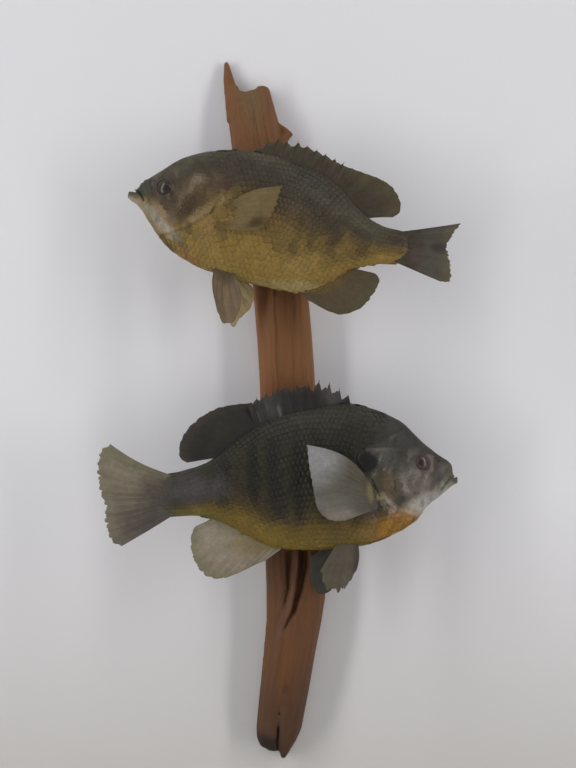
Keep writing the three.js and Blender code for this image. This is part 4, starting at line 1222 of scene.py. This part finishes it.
def two_sided(rows, columns):
    """Faces of a closed sheet: a grid of points, the same again on its other side, and the rim between."""
    i, k = np.meshgrid(np.arange(rows - 1) * columns, np.arange(columns - 1), indexing="ij")
    a = (i + k).ravel()
    up = rows * columns
    faces = np.stack([a, a + columns, a + columns + 1, a + 1], 1).tolist()
    faces += np.stack([up + a, up + a + 1, up + a + columns + 1, up + a + columns], 1).tolist()
    ring = list(range(columns)) + [columns * r + columns - 1 for r in range(1, rows)]
    ring += [columns * (rows - 1) + c for c in range(columns - 2, -1, -1)]
    ring += [columns * r for r in range(rows - 2, 0, -1)]
    return faces + [(b, c, up + c, up + b) for b, c in zip(ring, ring[1:] + ring[:1])]


def blade(name, fish, spec, material, slot_name, side=0):
    """A fin's web with its rays, as one closed thin sheet."""
    rays = spec["rays"]
    share = np.linspace(0, 1, rays * COLUMNS_PER_RAY + 1)[:, None]
    phase = share * rays
    seed = spec["seed"]
    near_ray = np.abs(phase - np.round(phase))
    if spec.get("spiny"):
        part = phase - np.floor(np.minimum(phase, rays - 1e-6))
        full = 1 + 0.9 * (1 - smooth(share, 0.04, 0.2)) - 0.6 * smooth(share, 0.28, 0.5)
        web = 0.97 - spec["dip"] * full * (part**0.8 - smooth(part, 0.82, 1.0))
    else:
        web = 1 - spec["dip"] * np.sin(np.pi * near_ray) ** 2
    fray = cloud(np.stack([phase * 5.3, 0 * phase, 0 * phase], -1), (1, 1, 1), seed)
    web = web - spec["fray"] * np.clip(fray, 0, 1) ** 1.5 * np.sqrt(np.sin(np.pi * share).clip(0, 1))
    reach = np.linspace(0, 1, FIN_ROWS + 1)[None, :] * web
    root = line(spec["base"])(share[:, 0])[:, None, :]
    run = line(spec["margin"])(share[:, 0])[:, None, :] - root
    across = np.stack([-run[..., 1], run[..., 0]], -1) / np.linalg.norm(run, axis=-1, keepdims=True)
    bow = spec.get("bow", lambda s: 0 * s)(share)
    flat = root + run * reach[..., None] + across * (bow * np.sin(np.pi * reach))[..., None]
    fork = 0 if spec.get("spiny") else RAY_FORK * smooth(reach, 0.35, 0.95)
    twig = 0 if spec.get("spiny") else RAY_TWIG * smooth(reach, 0.68, 1.0)
    off = np.abs(np.abs(near_ray - fork) - twig)
    ray = np.exp(-((off / (0.1 - 0.045 * smooth(reach, 0.3, 1))) ** 2))
    joints = 0.8 + 0.2 * np.cos(2 * np.pi * reach * RAY_JOINTS)
    half = (0.5 * spec["thick"] * (1 - smooth(reach, 0, 0.4)) + WEB_HALF) * 0.8
    half = half + ray * joints * (RAY_PROUD - 0.2 * reach)
    half = half * (1 - 0.5 * smooth(reach / web, 0.93, 1.0))
    place = np.stack([flat[..., 0], flat[..., 1], 0 * reach], -1)
    wave = spec["ripple"] * reach**1.3 * (np.sin(2 * np.pi * (phase * 0.37 + 0.3 * seed)) * 0.6
                                          + 1.1 * cloud(place, (13, 13, 13), seed + 1))
    if spec.get("spiny"):
        wave = wave + PLEAT * reach * (4 * np.abs(part - 0.5) - 1) * smooth(share, 0.0, 0.12)
    middle = wave
    if side:
        middle = side * (spec["start"] + spec["flare"] * reach) + wave
        middle = middle + side * spec.get("cup", 0) * np.sin(np.pi * share) * reach
    sheets = [np.stack([flat[..., 0], middle + s * half, flat[..., 1]], -1) for s in (-1, 1)]
    points = np.concatenate([sheet.reshape(-1, 3) for sheet in sheets])
    web_colour, ray_colour, root_colour, rim_colour = spec["colours"]
    colour = np.broadcast_to(linear(web_colour), (*reach.shape, 3))
    colour = blend(colour, ray_colour, 0.75 * ray * smooth(reach, 0.05, 0.3))
    colour = blend(colour, rim_colour, 0.7 * smooth(reach / web, 0.72, 0.97))
    low, high = spec.get("root_over", (0.1, 0.42))
    uneven = reach + 0.08 * cloud(place, (5, 5, 5), seed + 2)
    colour = blend(colour, root_colour, 0.9 * (1 - smooth(uneven, low, high)))
    for at_share, at_reach, wide, long, strength, shade in spec.get("marks", []):
        near = np.hypot((share - at_share) / wide, (reach - at_reach) / long)
        near = near + 0.15 * cloud(place, (4, 4, 4), seed)
        colour = blend(colour, shade, strength * np.exp(-0.7 * np.clip(near, 0, 9) ** 3))
    mottle = 1 + 0.09 * cloud(place, (4, 4, 4), seed + 3) + 0.05 * cloud(place, (1.1, 1.1, 1.1), seed + 4)
    colour = (colour * mottle[..., None]).reshape(-1, 3)
    faces, paint = two_sided(*reach.shape), np.vstack([colour, colour])
    return new_piece(name, posed(fish, points), faces, material, slot_name, paint=paint)


def fin_material(name, roughness):
    """Dried web, stained and finely wrinkled."""
    made, tree, shader = finish(name, roughness, coat=0.03, coat_roughness=0.3, specular=0.2)
    place = own_place(tree)
    stain = noise(tree, place, 380.0, 4.0)
    fine = noise(tree, place, 2000.0, 3.0)
    shade_paint(tree, shader, stretched(tree, stain, 0.9, 1.1), stretched(tree, fine, 0.88, 1.1))
    vary_gloss(tree, shader, stain, 0.5, 0.72)
    bumped(tree, shader, fine, 0.4, 0.15 * MM)
    return made


def spine_tree():
    """Turns each line of points into a round, tapering, capped spine."""
    tree = bpy.data.node_groups.new("fin_spines", "GeometryNodeTree")
    tree.interface.new_socket("Geometry", in_out="OUTPUT", socket_type="NodeSocketGeometry")
    inlet(tree, "Lines", "NodeSocketGeometry")
    inlet(tree, "Round", "NodeSocketInt", SPINE_ROUND)
    inlet(tree, "Material", "NodeSocketMaterial")
    given = add(tree, "NodeGroupInput").outputs
    curve = add(tree, "GeometryNodeMeshToCurve", {"Mesh": given["Lines"]}).outputs[0]
    circle = {"Resolution": given["Round"], "Radius": 1.0}
    ring = add(tree, "GeometryNodeCurvePrimitiveCircle", circle).outputs[0]
    girth = named(tree, "girth", "FLOAT")
    sizes = {"Curve": curve, "Profile Curve": ring, "Scale": girth, "Fill Caps": True}
    tube = add(tree, "GeometryNodeCurveToMesh", sizes).outputs[0]
    real = add(tree, "GeometryNodeRealizeInstances", {"Geometry": tube}).outputs[0]
    give_out(tree, real, given["Material"])
    return tree


def spines(name, fish, spec, tree, material, slot_name, count, girth, over, side=0):
    """The bony spines along the rays of a fin, each reaching a little past the web."""
    points, links, girths = [], [], []
    for n in range(count):
        share = n / spec["rays"]
        root = line(spec["base"])(share)
        run = line(spec["margin"])(share) - root
        reach = np.linspace(0.02, 1 + over, SPINE_POINTS)
        across = np.array([-run[1], run[0]]) / np.linalg.norm(run)
        bow = spec.get("bow", lambda s: 0 * s)(share)
        flat = root + run * reach[:, None] + across * (bow * np.sin(np.pi * np.clip(reach, 0, 1)))[:, None]
        wave = spec["ripple"] * reach**1.3 * 0.6 * np.sin(2 * np.pi * (n * 0.37 + 0.3 * spec["seed"]))
        place = np.stack([flat[:, 0], flat[:, 1], 0 * reach], -1)
        wave = wave + spec["ripple"] * reach**1.3 * 1.1 * cloud(place, (13, 13, 13), spec["seed"] + 1)
        middle = side * (spec["start"] + spec["flare"] * reach) if side else 0
        first = len(points)
        points.extend(np.stack([flat[:, 0], middle + wave, flat[:, 1]], -1))
        links.extend((first + k, first + k + 1) for k in range(SPINE_POINTS - 1))
        girths.extend(girth * (1 - SPINE_TAPER * np.linspace(0, 1, SPINE_POINTS) ** 1.2))
    mesh = bpy.data.meshes.new(name)
    mesh.from_pydata(posed(fish, np.array(points)), links, [])
    paint = np.tile(linear(spec["colours"][1]), (len(points), 1))
    write_values(mesh, girth=np.array(girths) * MM, paint=paint)
    made = placed(name, mesh)
    made_by(tree, made, Material=material)
    made.data.shade_smooth()
    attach(made, "root")
    return made


# base and margin are lines of [x, z]. dip is how far the margin falls back between two rays and fray how
# ragged it is, as shares of a ray. bow hollows or fills the fin, start and flare stand a paired fin off
# the flank, and cup rounds it. colours are the web's, the rays', the root's and the rim's. marks are
# [share along the fin, share of the ray, half width, half length, strength, colour].
BLUEGILL["fins"] = {
    "dorsal_fin_spiny": {
        "base": at_back(BLUEGILL, 66, 129), "rays": 10, "dip": 0.34, "fray": 0.16, "spiny": True,
        "seed": 51,
        "margin": [[67.4, 59.6], [75.5, 66], [86, 70], [100, 68.6], [114, 67], [126, 62], [134, 57]],
        "thick": 2.2, "ripple": 1.7, "colours": [FIN_BLACK, WEB_DARK, FIN_BLACK, FIN_BROWN],
        "marks": [[0.5, 0.6, 0.18, 0.5, 0.6, FIN_BLACK], [0.18, 0.6, 0.1, 0.45, 0.6, WEB_PURPLE],
                  [0.33, 0.3, 0.05, 0.3, 0.6, FIN_BLACK], [0.66, 0.7, 0.04, 0.4, 0.6, FIN_BLACK],
                  [0.8, 0.6, 0.1, 0.5, 0.4, WEB_GREY], [0.94, 0.35, 0.012, 0.22, 0.6, WEB_GLINT],
                  [0.83, 0.55, 0.01, 0.18, 0.3, WEB_GLINT], [0.72, 0.25, 0.014, 0.2, 0.5, WEB_GLINT]],
    },
    "dorsal_fin_soft": {
        "base": at_back(BLUEGILL, 125, 154), "rays": 10, "dip": 0.015, "fray": 0.02, "seed": 61,
        "margin": [[131, 57.6], [148, 56.6], [160, 53], [172, 45], [179, 35.6], [180.8, 28], [179.4, 22.6],
                   [175.6, 20.4]],
        "bow": lambda s: 2.6 * smooth(s, 0.8, 1.0) - 2.5 * s, "thick": 2.2, "ripple": 1.0,
        "colours": [FIN_DUSK, FIN_DUSK_RAY, FIN_BLACK, FIN_BROWN],
        "marks": [[0.8, 0.5, 0.2, 0.3, 0.7, FIN_BLACK], [0.1, 0.4, 0.3, 0.6, 0.7, FIN_BLACK]],
    },
    "anal_fin": {
        "base": at_belly(BLUEGILL, 114, 159), "rays": 12, "dip": 0.015, "fray": 0.03, "seed": 71,
        "margin": [[127, -46.6], [141, -52.2], [156, -57.4], [168, -54.4], [174.4, -45], [176.2, -33],
                   [173.5, -23], [166, -19.6]],
        "thick": 2.2, "ripple": 1.1, "colours": [FIN_TAN, FIN_PALE, FIN_OLIVE, FIN_OLIVE],
        "marks": [[0.62, 0.45, 0.25, 0.3, 0.7, FIN_PALE], [0.3, 0.22, 0.3, 0.22, 0.6, FIN_GOLD]],
    },
    "tail_fin": {
        "base": [[186, -13.2], [186.5, 0], [186, 12.6]], "rays": 14, "dip": 0.02, "fray": 0.045, "seed": 81,
        "bow": lambda s: -0.4 - 1.7 * s,
        "margin": [[221, -31.6], [227.5, -28], [231, -15], [230.4, -5], [233.4, 6], [234.2, 20],
                   [231.4, 31.4], [225, 35.6]],
        "thick": 2.6, "ripple": 1.6, "colours": [TAIL_TAN, TAIL_RAY, STALK_ROOT, TAIL_RIM],
        "root_over": (0.3, 0.7),
        "marks": [[0.02, 0.5, 0.1, 0.6, 0.6, FIN_SMOKE], [0.97, 0.5, 0.12, 0.6, 0.7, FIN_OLIVE],
                  [0.2, 0.55, 0.16, 0.3, 0.6, FIN_SMOKE], [0.76, 0.68, 0.16, 0.3, 0.6, TAIL_PALE]],
    },
    "pectoral_fin_right": {
        "base": [[53.6, -4.5], [52.4, -15]], "rays": 12, "dip": 0.008, "fray": 0.012, "seed": 91, "side": 1,
        "margin": [[96.6, 29], [96, 17], [94.4, 3], [92, -12], [85, -19.6], [75, -21]],
        "bow": lambda s: 8 * (1 - s) ** 1.5, "start": 16.4, "flare": 9, "cup": 1.5, "thick": 2.4,
        "ripple": 0.9, "colours": [PECTORAL_CLEAR, PECTORAL_GREEN, FIN_ROOT_DARK, PECTORAL_CLEAR],
        "root_over": (0.14, 0.3),
        # The first mark lights the fin's upper tip: partly its pale web, partly painted highlight.
        "marks": [[0.12, 0.88, 0.26, 0.3, 0.8, PECTORAL_PALE_AND_HIGHLIGHT],
                  [0.45, 0.55, 0.25, 0.25, 0.6, PECTORAL_GREEN],
                  [0.86, 0.78, 0.16, 0.26, 0.75, PECTORAL_WARM],
                  [0.16, 0.36, 0.3, 0.2, 0.8, PECTORAL_BROWN],
                  [0.75, 0.28, 0.3, 0.16, 0.6, PECTORAL_BROWN],
                  [0.3, 0.1, 0.3, 0.05, 0.7, FIN_ROOT_YELLOW]],
    },
    "pectoral_fin_left": {
        "base": [[53.6, -4.5], [52.4, -15]], "rays": 12, "dip": 0.02, "fray": 0.02, "seed": 93, "side": -1,
        "margin": [[84, 22], [85, 12], [84.4, 0], [82, -12], [77, -20], [70, -23]],
        "bow": lambda s: 6 * (1 - s) ** 1.5, "start": 16, "flare": 12, "thick": 2.4,
        "ripple": 0.6, "colours": [PECTORAL_CLEAR, PECTORAL_GREEN, FIN_ROOT_DARK, PECTORAL_CLEAR],
    },
    "pelvic_fin_right": {
        "base": [[67, -37], [80.5, -38]], "rays": 6, "dip": 0.06, "fray": 0.1, "seed": 95, "side": 1,
        "margin": [[68.5, -55], [73, -62.4], [79.6, -69], [85, -67.6], [89.8, -66], [92, -54]],
        "bow": lambda s: -1.5 * (1 - s), "start": 4.5, "flare": 8, "thick": 2.6, "ripple": 0.9,
        "colours": [PELVIC_BROWN, FIN_SMOKE, PELVIC_BROWN, PELVIC_BROWN],
        "marks": [[0.04, 0.5, 0.14, 0.5, 0.75, WEB_DARK]],
    },
    "pelvic_fin_left": {
        "base": [[68, -37], [80, -38]], "rays": 5, "dip": 0.02, "fray": 0.05, "seed": 97, "side": -1,
        "margin": [[80, -64], [86, -71], [92, -73], [96.6, -69], [98.6, -58], [97.8, -47]],
        "bow": lambda s: -2 * (1 - s), "start": 4.5, "flare": 4.5, "thick": 2.6, "ripple": 0.9,
        "colours": [PELVIC_TEAL, PELVIC_SMOKE, FIN_BROWN, PELVIC_SMOKE],
    },
}
SPINES = {
    # [how many, thickness at the root, how far past the web]
    "dorsal_fin_spiny": [10, 0.7, 0.02], "anal_fin": [3, 0.7, 0.0], "pelvic_fin_right": [1, 0.7, 0.0],
    "pelvic_fin_left": [1, 0.7, 0.0],
}
dark_web = fin_material("dark_fin_web", 0.5)
pale_web = fin_material("pale_fin_web", 0.48)
tree_of_spines = spine_tree()


def dress_fins(fish, prefix, slot_of, node_of):
    """All of a fish's fins; slot_of and node_of give a fin's slot and the solid that it stands for."""
    for name, spec in fish["fins"].items():
        side = spec.get("side", 0)
        slot_name = slot_of(name)
        web = dark_web if slot_name == "dark_fin" else pale_web
        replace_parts(blade(prefix + name, fish, spec, web, slot_name, side), node_of(name))
        if name in SPINES:
            spine_name = prefix + name + "_spines"
            made = spines(spine_name, fish, spec, tree_of_spines, web, slot_name, *SPINES[name], side)
            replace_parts(made, node_of(name))


dress_fins(
    BLUEGILL, "bluegill_", lambda name: "dark_fin" if name[:6] in ("dorsal", "pelvic") else "pale_fin",
    lambda name: name,
)

# ---------- The upper fish ----------
# The second sunfish, facing the other way: golden olive with a dark back, a brown face with pale ridges,
# a small maroon ear flap and brown fins. It is skinned, scaled and finned as the bluegill is.
UPPER_BELLY = (146, 124, 70)
UPPER_GOLD = (138, 114, 58)
UPPER_OLIVE = (100, 82, 46)
UPPER_TAN = (120, 96, 53)
UPPER_GREY_TAN = (86, 71, 53)
STALK_TAN = (96, 82, 60)
UPPER_BROWN = (76, 65, 46)
UPPER_DARK = (64, 57, 46)
# the back's olive, lightened by painted sheen from the light above
UPPER_BACK_SHEEN = (84, 79, 64)
UPPER_BLUE = (56, 54, 47)
UPPER_BAR = (84, 70, 40)
SNOUT_GREEN = (56, 60, 49)
BROW_GREEN = (70, 68, 54)
FACE_BROWN = (66, 54, 43)
EYE_SHADE = (50, 44, 40)
RIDGE_PALE = (112, 97, 80)
CHEEK_OVAL = (68, 58, 42)
COVER_PINK = (136, 121, 101)
COVER_BROWN = (84, 67, 54)
RIM_GOLD = (144, 126, 80)
RIDGE_CREAM = (142, 120, 84)
FIN_PIT_ORANGE = (134, 106, 66)
JAW_CREAM = (156, 149, 134)
THROAT_OLIVE = (104, 94, 56)
THROAT_ORANGE = (150, 112, 62)
EAR_MAROON = (76, 56, 48)
VENT_CREAM = (166, 148, 104)
STALK_LINE = (134, 122, 122)
UPPER_FIN = (80, 69, 52)
UPPER_FIN_RAY = (84, 74, 56)
UPPER_FIN_RIM = (76, 72, 48)
UPPER_FIN_ROOT = (60, 54, 43)
UPPER_WEB = (66, 60, 50)
UPPER_TAIL = (76, 72, 64)
UPPER_TAIL_RIM = (94, 88, 66)
UPPER_TAIL_SPOT = (58, 54, 53)
UPPER_TAIL_MAROON = (76, 62, 60)
PECTORAL_GOLD = (106, 91, 60)
PECTORAL_CREAM = (115, 100, 70)
PECTORAL_SPOT = (62, 48, 25)
PELVIC_CREAM = (150, 134, 95)
PELVIC_TAN = (112, 95, 74)
UPPER = {
    "jaw_tip": (-105.5, 126), "tilt": 10.5, "heading": 0, "near": -1, "swing": 0.0022, "swing_from": 100,
    "tip_at": 0, "stalk_end": 189,
    "back": [[5.8, 7.9], [12.4, 13.1], [20, 20], [26, 25.5], [34, 31.2], [42, 35.2], [50, 37.8], [67, 41.4],
             [82, 42.4], [108, 40], [122, 36.4], [137, 28.8], [151, 17.8], [163, 10.4], [176, 7.2],
             [185, 6.8], [189, 6.6]],
    "belly": [[0, -2.6], [3, -4.6], [6, -6.1], [9, -8.4], [12, -11], [15, -14.6], [18, -18], [24, -24.3],
              [30, -29.3], [38, -34], [46, -37], [55, -39.9], [73, -42.6], [100, -44.6],
              [118, -44.6], [130, -41.4], [142, -34], [155, -23], [166, -18.6], [178, -15.6], [185, -15],
              [189, -14.8]],
    "half_width": [[0, 1.9], [6, 5.4], [12, 8], [22, 11.6], [35, 15], [50, 17.6], [70, 19], [95, 18.2],
                   [120, 14.6], [145, 9.4], [165, 6], [176, 4.0], [184, 2.2], [189, 1.0]],
    "widest_at": [[0, -1], [12, 0], [25, 0], [60, -2], [120, -3.5], [160, -3.4], [189, -3.6]],
    "keel": [[0, 0.42], [25, 0.46], [60, 0.58], [120, 0.62], [165, 0.56], [189, 0.5]],
    "snout": [[0, 0.05, 0.9], [0.6, 0.6, 1.3], [1.4, 2.2, 1.5], [2.4, 4.2, 1.7], [3.2, 5.8, 1.9],
              [3.8, 7.0, 2.7], [4.5, 7.1, 4.4], [5.2, 6.9, 6.2], [6.0, 7.0, 7.8], [7.4, 8.1, 9.3],
              [9.2, 9.6, 10.9], [12, 12, 12.8]],
    "mouth": [[5.6, 2.2], [7.4, 1.6], [9.6, -0.6], [11.8, -3.6]],
    "jawbone": [[8, 9.4], [11.6, 6.4], [14.4, 1.4], [15.6, -3], [14, -6]],
    "nostrils": [[16, 10.8], [13.4, 9.6]],
    "cheek_edge": [[41, 24], [40, 16], [38.6, 6], [37.4, -3], [35, -10], [30, -14.5], [22, -14], [15, -11]],
    "cheek_bulge": (31, -1, 9, 8), "crease": 0.4,
    "gill_edge": [[46, 25], [54, 21.8], [61, 19.6], [65.6, 17.6], [66.4, 14], [64, 9.6], [61, 4.6],
                  [58, -1.4], [54.4, -7], [48.4, -12.4], [42, -17], [34, -21.4], [27, -24], [20, -22]],
    "ear_flap": (64.6, 15, 2.6, 4.2),
    "nape_edge": [[40, 50], [44, 35], [52, 27], [60, 21.5]],
    "eye": {"x": 24, "z": 6.6, "radius": 5.4, "depth": 3.6, "proud": 1.6, "open": 4.7},
    "lateral_line": [[60, 21], [80, 27], [100, 28], [120, 23], [138, 13], [155, 1], [170, -4.5], [193, -5]],
    # The top stop is the back, painted lighter along the top as painted sheen from the light above.
    "heights": [[0, UPPER_BELLY], [0.12, UPPER_GOLD], [0.34, UPPER_GOLD], [0.5, UPPER_OLIVE],
                [0.62, UPPER_OLIVE], [0.7, UPPER_BROWN], [0.78, UPPER_DARK], [0.9, UPPER_DARK],
                [1, UPPER_BACK_SHEEN]],
    "height_shift": [[0, 0], [70, 0], [110, -0.14], [140, -0.22], [170, -0.2], [190, -0.15]],
    "bars": [[115, 3], [124, 3], [141, 4.5], [160, 4]],
    "bar_colours": [UPPER_BAR, UPPER_GOLD], "bar_low": (0.3, 0.44),
    "marks": [
        [128, 27, 34, 7, -28, 0.6, UPPER_BLUE],
        [108, 31, 16, 7, -16, 0.6, UPPER_BLUE],
        [26, 22, 24, 8, 38, 0.8, BROW_GREEN],
        [14, 6, 10, 6.4, 34, 0.9, SNOUT_GREEN],
        [30, -1, 14, 15, 0, 0.9, FACE_BROWN],
        [24, 8, 8, 6.5, 0, 0.8, EYE_SHADE],
        [45, -4, 7, 13, -20, 0.8, CHEEK_OVAL],
        [37, 2, 2.2, 9, -8, 0.75, RIDGE_PALE],
        [56, 15, 8, 7, 0, 0.75, COVER_BROWN],
        [45.6, 15.8, 4.6, 3.2, 0, 0.72, COVER_PINK],
        [41.5, 9, 1.8, 5, -14, 0.6, COVER_PINK],
        [62.6, 5, 2.4, 5.5, -28, 0.75, RIM_GOLD],
        [51, -7, 11, 3, 43, 0.9, RIDGE_CREAM],
        [57, -15, 5.5, 5, 0, 0.8, FIN_PIT_ORANGE],
        [66, -17, 4, 5, 0, 0.6, UPPER_OLIVE],
        [30, -27.6, 12, 2.6, -44, 0.85, THROAT_OLIVE],
        [39, -25.6, 8, 1.8, -34, 0.4, RIDGE_PALE],
        [22, -13.4, 14, 3.2, -39, 0.9, JAW_CREAM],
        [33.5, -20.6, 7, 2.6, -36, 0.7, JAW_CREAM],
        [25, -9, 7, 2.6, -40, 0.8, RIDGE_CREAM],
        [33, -11, 3, 4, 0, 0.7, RIDGE_PALE],
        [49, -35.4, 10, 3, -20, 0.9, THROAT_ORANGE],
        [6, -5.4, 6, 1.8, -28, 0.8, JAW_CREAM],
        [3.2, 0.7, 6.4, 2.5, 0, 0.95, SNOUT_GREEN],
        [60, -27, 8, 5, 0, 0.6, UPPER_BELLY],
        [101, -7, 11, 7, -12, 0.85, UPPER_TAN],
        [105, 9, 10, 6, 0, 0.6, UPPER_GREY_TAN],
        [149, -7, 4, 8, 0, 0.6, UPPER_TAN],
        [136, -22.5, 16, 5.4, -14, 0.6, UPPER_GOLD],
        [119, -28, 12, 7, 0, 0.6, UPPER_BELLY],
        [122, -41, 22, 4, 4, 0.7, VENT_CREAM],
        [176, 5, 10, 3.4, 0, 0.6, UPPER_DARK],
        [169, -3, 8, 4, 0, 0.5, STALK_TAN],
        [186, -5, 1.2, 10, 0, 0.2, STALK_LINE],
    ],
    "ear_colour": EAR_MAROON, "dried": [RIDGE_PALE, CHEEK_OVAL],
    "iris": [(54, 47, 42), (48, 42, 38), (51, 44, 40), (42, 35, 32)],
}
# This fish shows its left flank; its near paired fins bear the names of the bluegill's near ones.
UPPER["fins"] = {
    "dorsal_fin_spiny": {
        "base": at_back(UPPER, 74, 136), "rays": 10, "dip": 0.3, "fray": 0.12, "spiny": True, "seed": 151,
        "margin": [[80, 47], [88, 53.4], [99, 55], [112, 52.6], [126, 48.6], [143, 43.4]],
        "thick": 2.2, "ripple": 1.4, "colours": [UPPER_WEB, UPPER_FIN, UPPER_DARK, UPPER_FIN_RIM],
        "marks": [[0.75, 0.35, 0.16, 0.3, 0.6, FACE_BROWN]],
    },
    "dorsal_fin_soft": {
        "base": at_back(UPPER, 131, 156), "rays": 10, "dip": 0.012, "fray": 0.02, "seed": 161,
        "margin": [[137, 43.4], [155, 39.8], [166, 36.8], [173.6, 31], [177.4, 24], [177.6, 18],
                   [174, 14.6]],
        "bow": lambda s: 2.8 * smooth(s, 0.8, 1.0) - 2.5 * s, "thick": 2.2, "ripple": 0.9,
        "colours": [UPPER_FIN, UPPER_FIN, UPPER_FIN_ROOT, UPPER_FIN_RIM], "root_over": (0.35, 0.95),
    },
    "anal_fin": {
        "base": at_belly(UPPER, 120, 152), "rays": 10, "dip": 0.012, "fray": 0.025, "seed": 171,
        "margin": [[130, -48], [144, -52.8], [154, -53.2], [164, -47.6], [170, -39.4], [173, -30],
                   [171, -24], [161, -22.6]],
        "thick": 2.2, "ripple": 0.9, "colours": [UPPER_FIN, UPPER_FIN_RAY, UPPER_OLIVE, UPPER_FIN_RIM],
    },
    "tail_fin": {
        "base": [[180, -13.8], [180.5, -3.4], [180, 5.6]], "rays": 14, "dip": 0.015, "fray": 0.035,
        "seed": 181,
        "margin": [[211, -22.4], [217, -21], [214.6, -9], [210.6, 1], [213.4, 9], [216.6, 16.4]],
        "thick": 2.6, "ripple": 1.1,
        "colours": [UPPER_TAIL, UPPER_FIN_RAY, UPPER_DARK, UPPER_TAIL_RIM], "root_over": (0.3, 0.55),
        "marks": [[0.62, 0.84, 0.1, 0.16, 0.85, UPPER_TAIL_SPOT], [0.7, 0.42, 0.2, 0.14, 0.6, UPPER_DARK],
                  [0.38, 0.36, 0.16, 0.13, 0.8, UPPER_TAIL_MAROON]],
    },
    "pectoral_fin_right": {
        "base": [[61, -5], [62, -14]], "rays": 10, "dip": 0.02, "fray": 0.03, "seed": 191, "side": -1,
        "margin": [[100, 20.4], [99, 12], [97.6, 3], [94.6, -5], [90, -10], [82, -13]],
        "bow": lambda s: 5 * (1 - s) ** 1.5, "start": 16.8, "flare": 4.5, "thick": 2.4, "ripple": 0.4,
        "colours": [PECTORAL_GOLD, PECTORAL_CREAM, UPPER_OLIVE, PECTORAL_GOLD],
        "marks": [[0.64, 0.8, 0.13, 0.16, 0.9, PECTORAL_SPOT], [0.25, 0.62, 0.2, 0.16, 0.7, PECTORAL_CREAM],
                  [0.6, 0.5, 0.2, 0.14, 0.6, PECTORAL_CREAM]],
    },
    "pectoral_fin_left": {
        "base": [[55, -10], [63, -13]], "rays": 10, "dip": 0.02, "fray": 0.03, "seed": 193, "side": 1,
        "margin": [[56, -32], [61, -35.4], [67, -35.4], [72, -31.6], [75, -26]],
        "start": 15.4, "flare": 2.4, "thick": 2.4, "ripple": 0.3,
        "colours": [PECTORAL_GOLD, PECTORAL_CREAM, CHEEK_OVAL, PECTORAL_GOLD],
    },
    "pelvic_fin_right": {
        "base": [[66, -37], [79, -39]], "rays": 5, "dip": 0.02, "fray": 0.04, "seed": 195, "side": -1,
        "margin": [[69, -58], [73, -67], [78, -73.6], [84, -72], [87, -62], [86, -52]],
        "bow": lambda s: -1.5 * (1 - s), "start": 4.5, "flare": 7, "thick": 2.6, "ripple": 0.7,
        "colours": [PELVIC_TAN, UPPER_FIN_RAY, UPPER_FIN, PELVIC_TAN],
    },
    "pelvic_fin_left": {
        "base": [[67, -37], [80, -39]], "rays": 5, "dip": 0.012, "fray": 0.03, "seed": 197, "side": 1,
        "margin": [[78, -68], [84, -74], [88, -67], [93, -59], [94, -50], [91, -45]],
        "bow": lambda s: -2 * (1 - s), "start": 4.5, "flare": 5, "thick": 2.6, "ripple": 0.7,
        "colours": [PELVIC_CREAM, PELVIC_TAN, UPPER_FIN, PELVIC_CREAM],
    },
}
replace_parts(skin_piece("upper_skin", UPPER, skin_material("golden_skin"), "golden_skin"), "upper_fish")
scale_fish("upper_", UPPER, 0.5)
eyeball("upper_eye_near", UPPER, -1, glass, "upper_fish")
eyeball("upper_eye_far", UPPER, 1, glass, "upper_fish")
dress_fins(UPPER, "upper_", lambda name: "golden_skin", lambda name: "upper_fish")

bpy.data.objects.remove(plate)
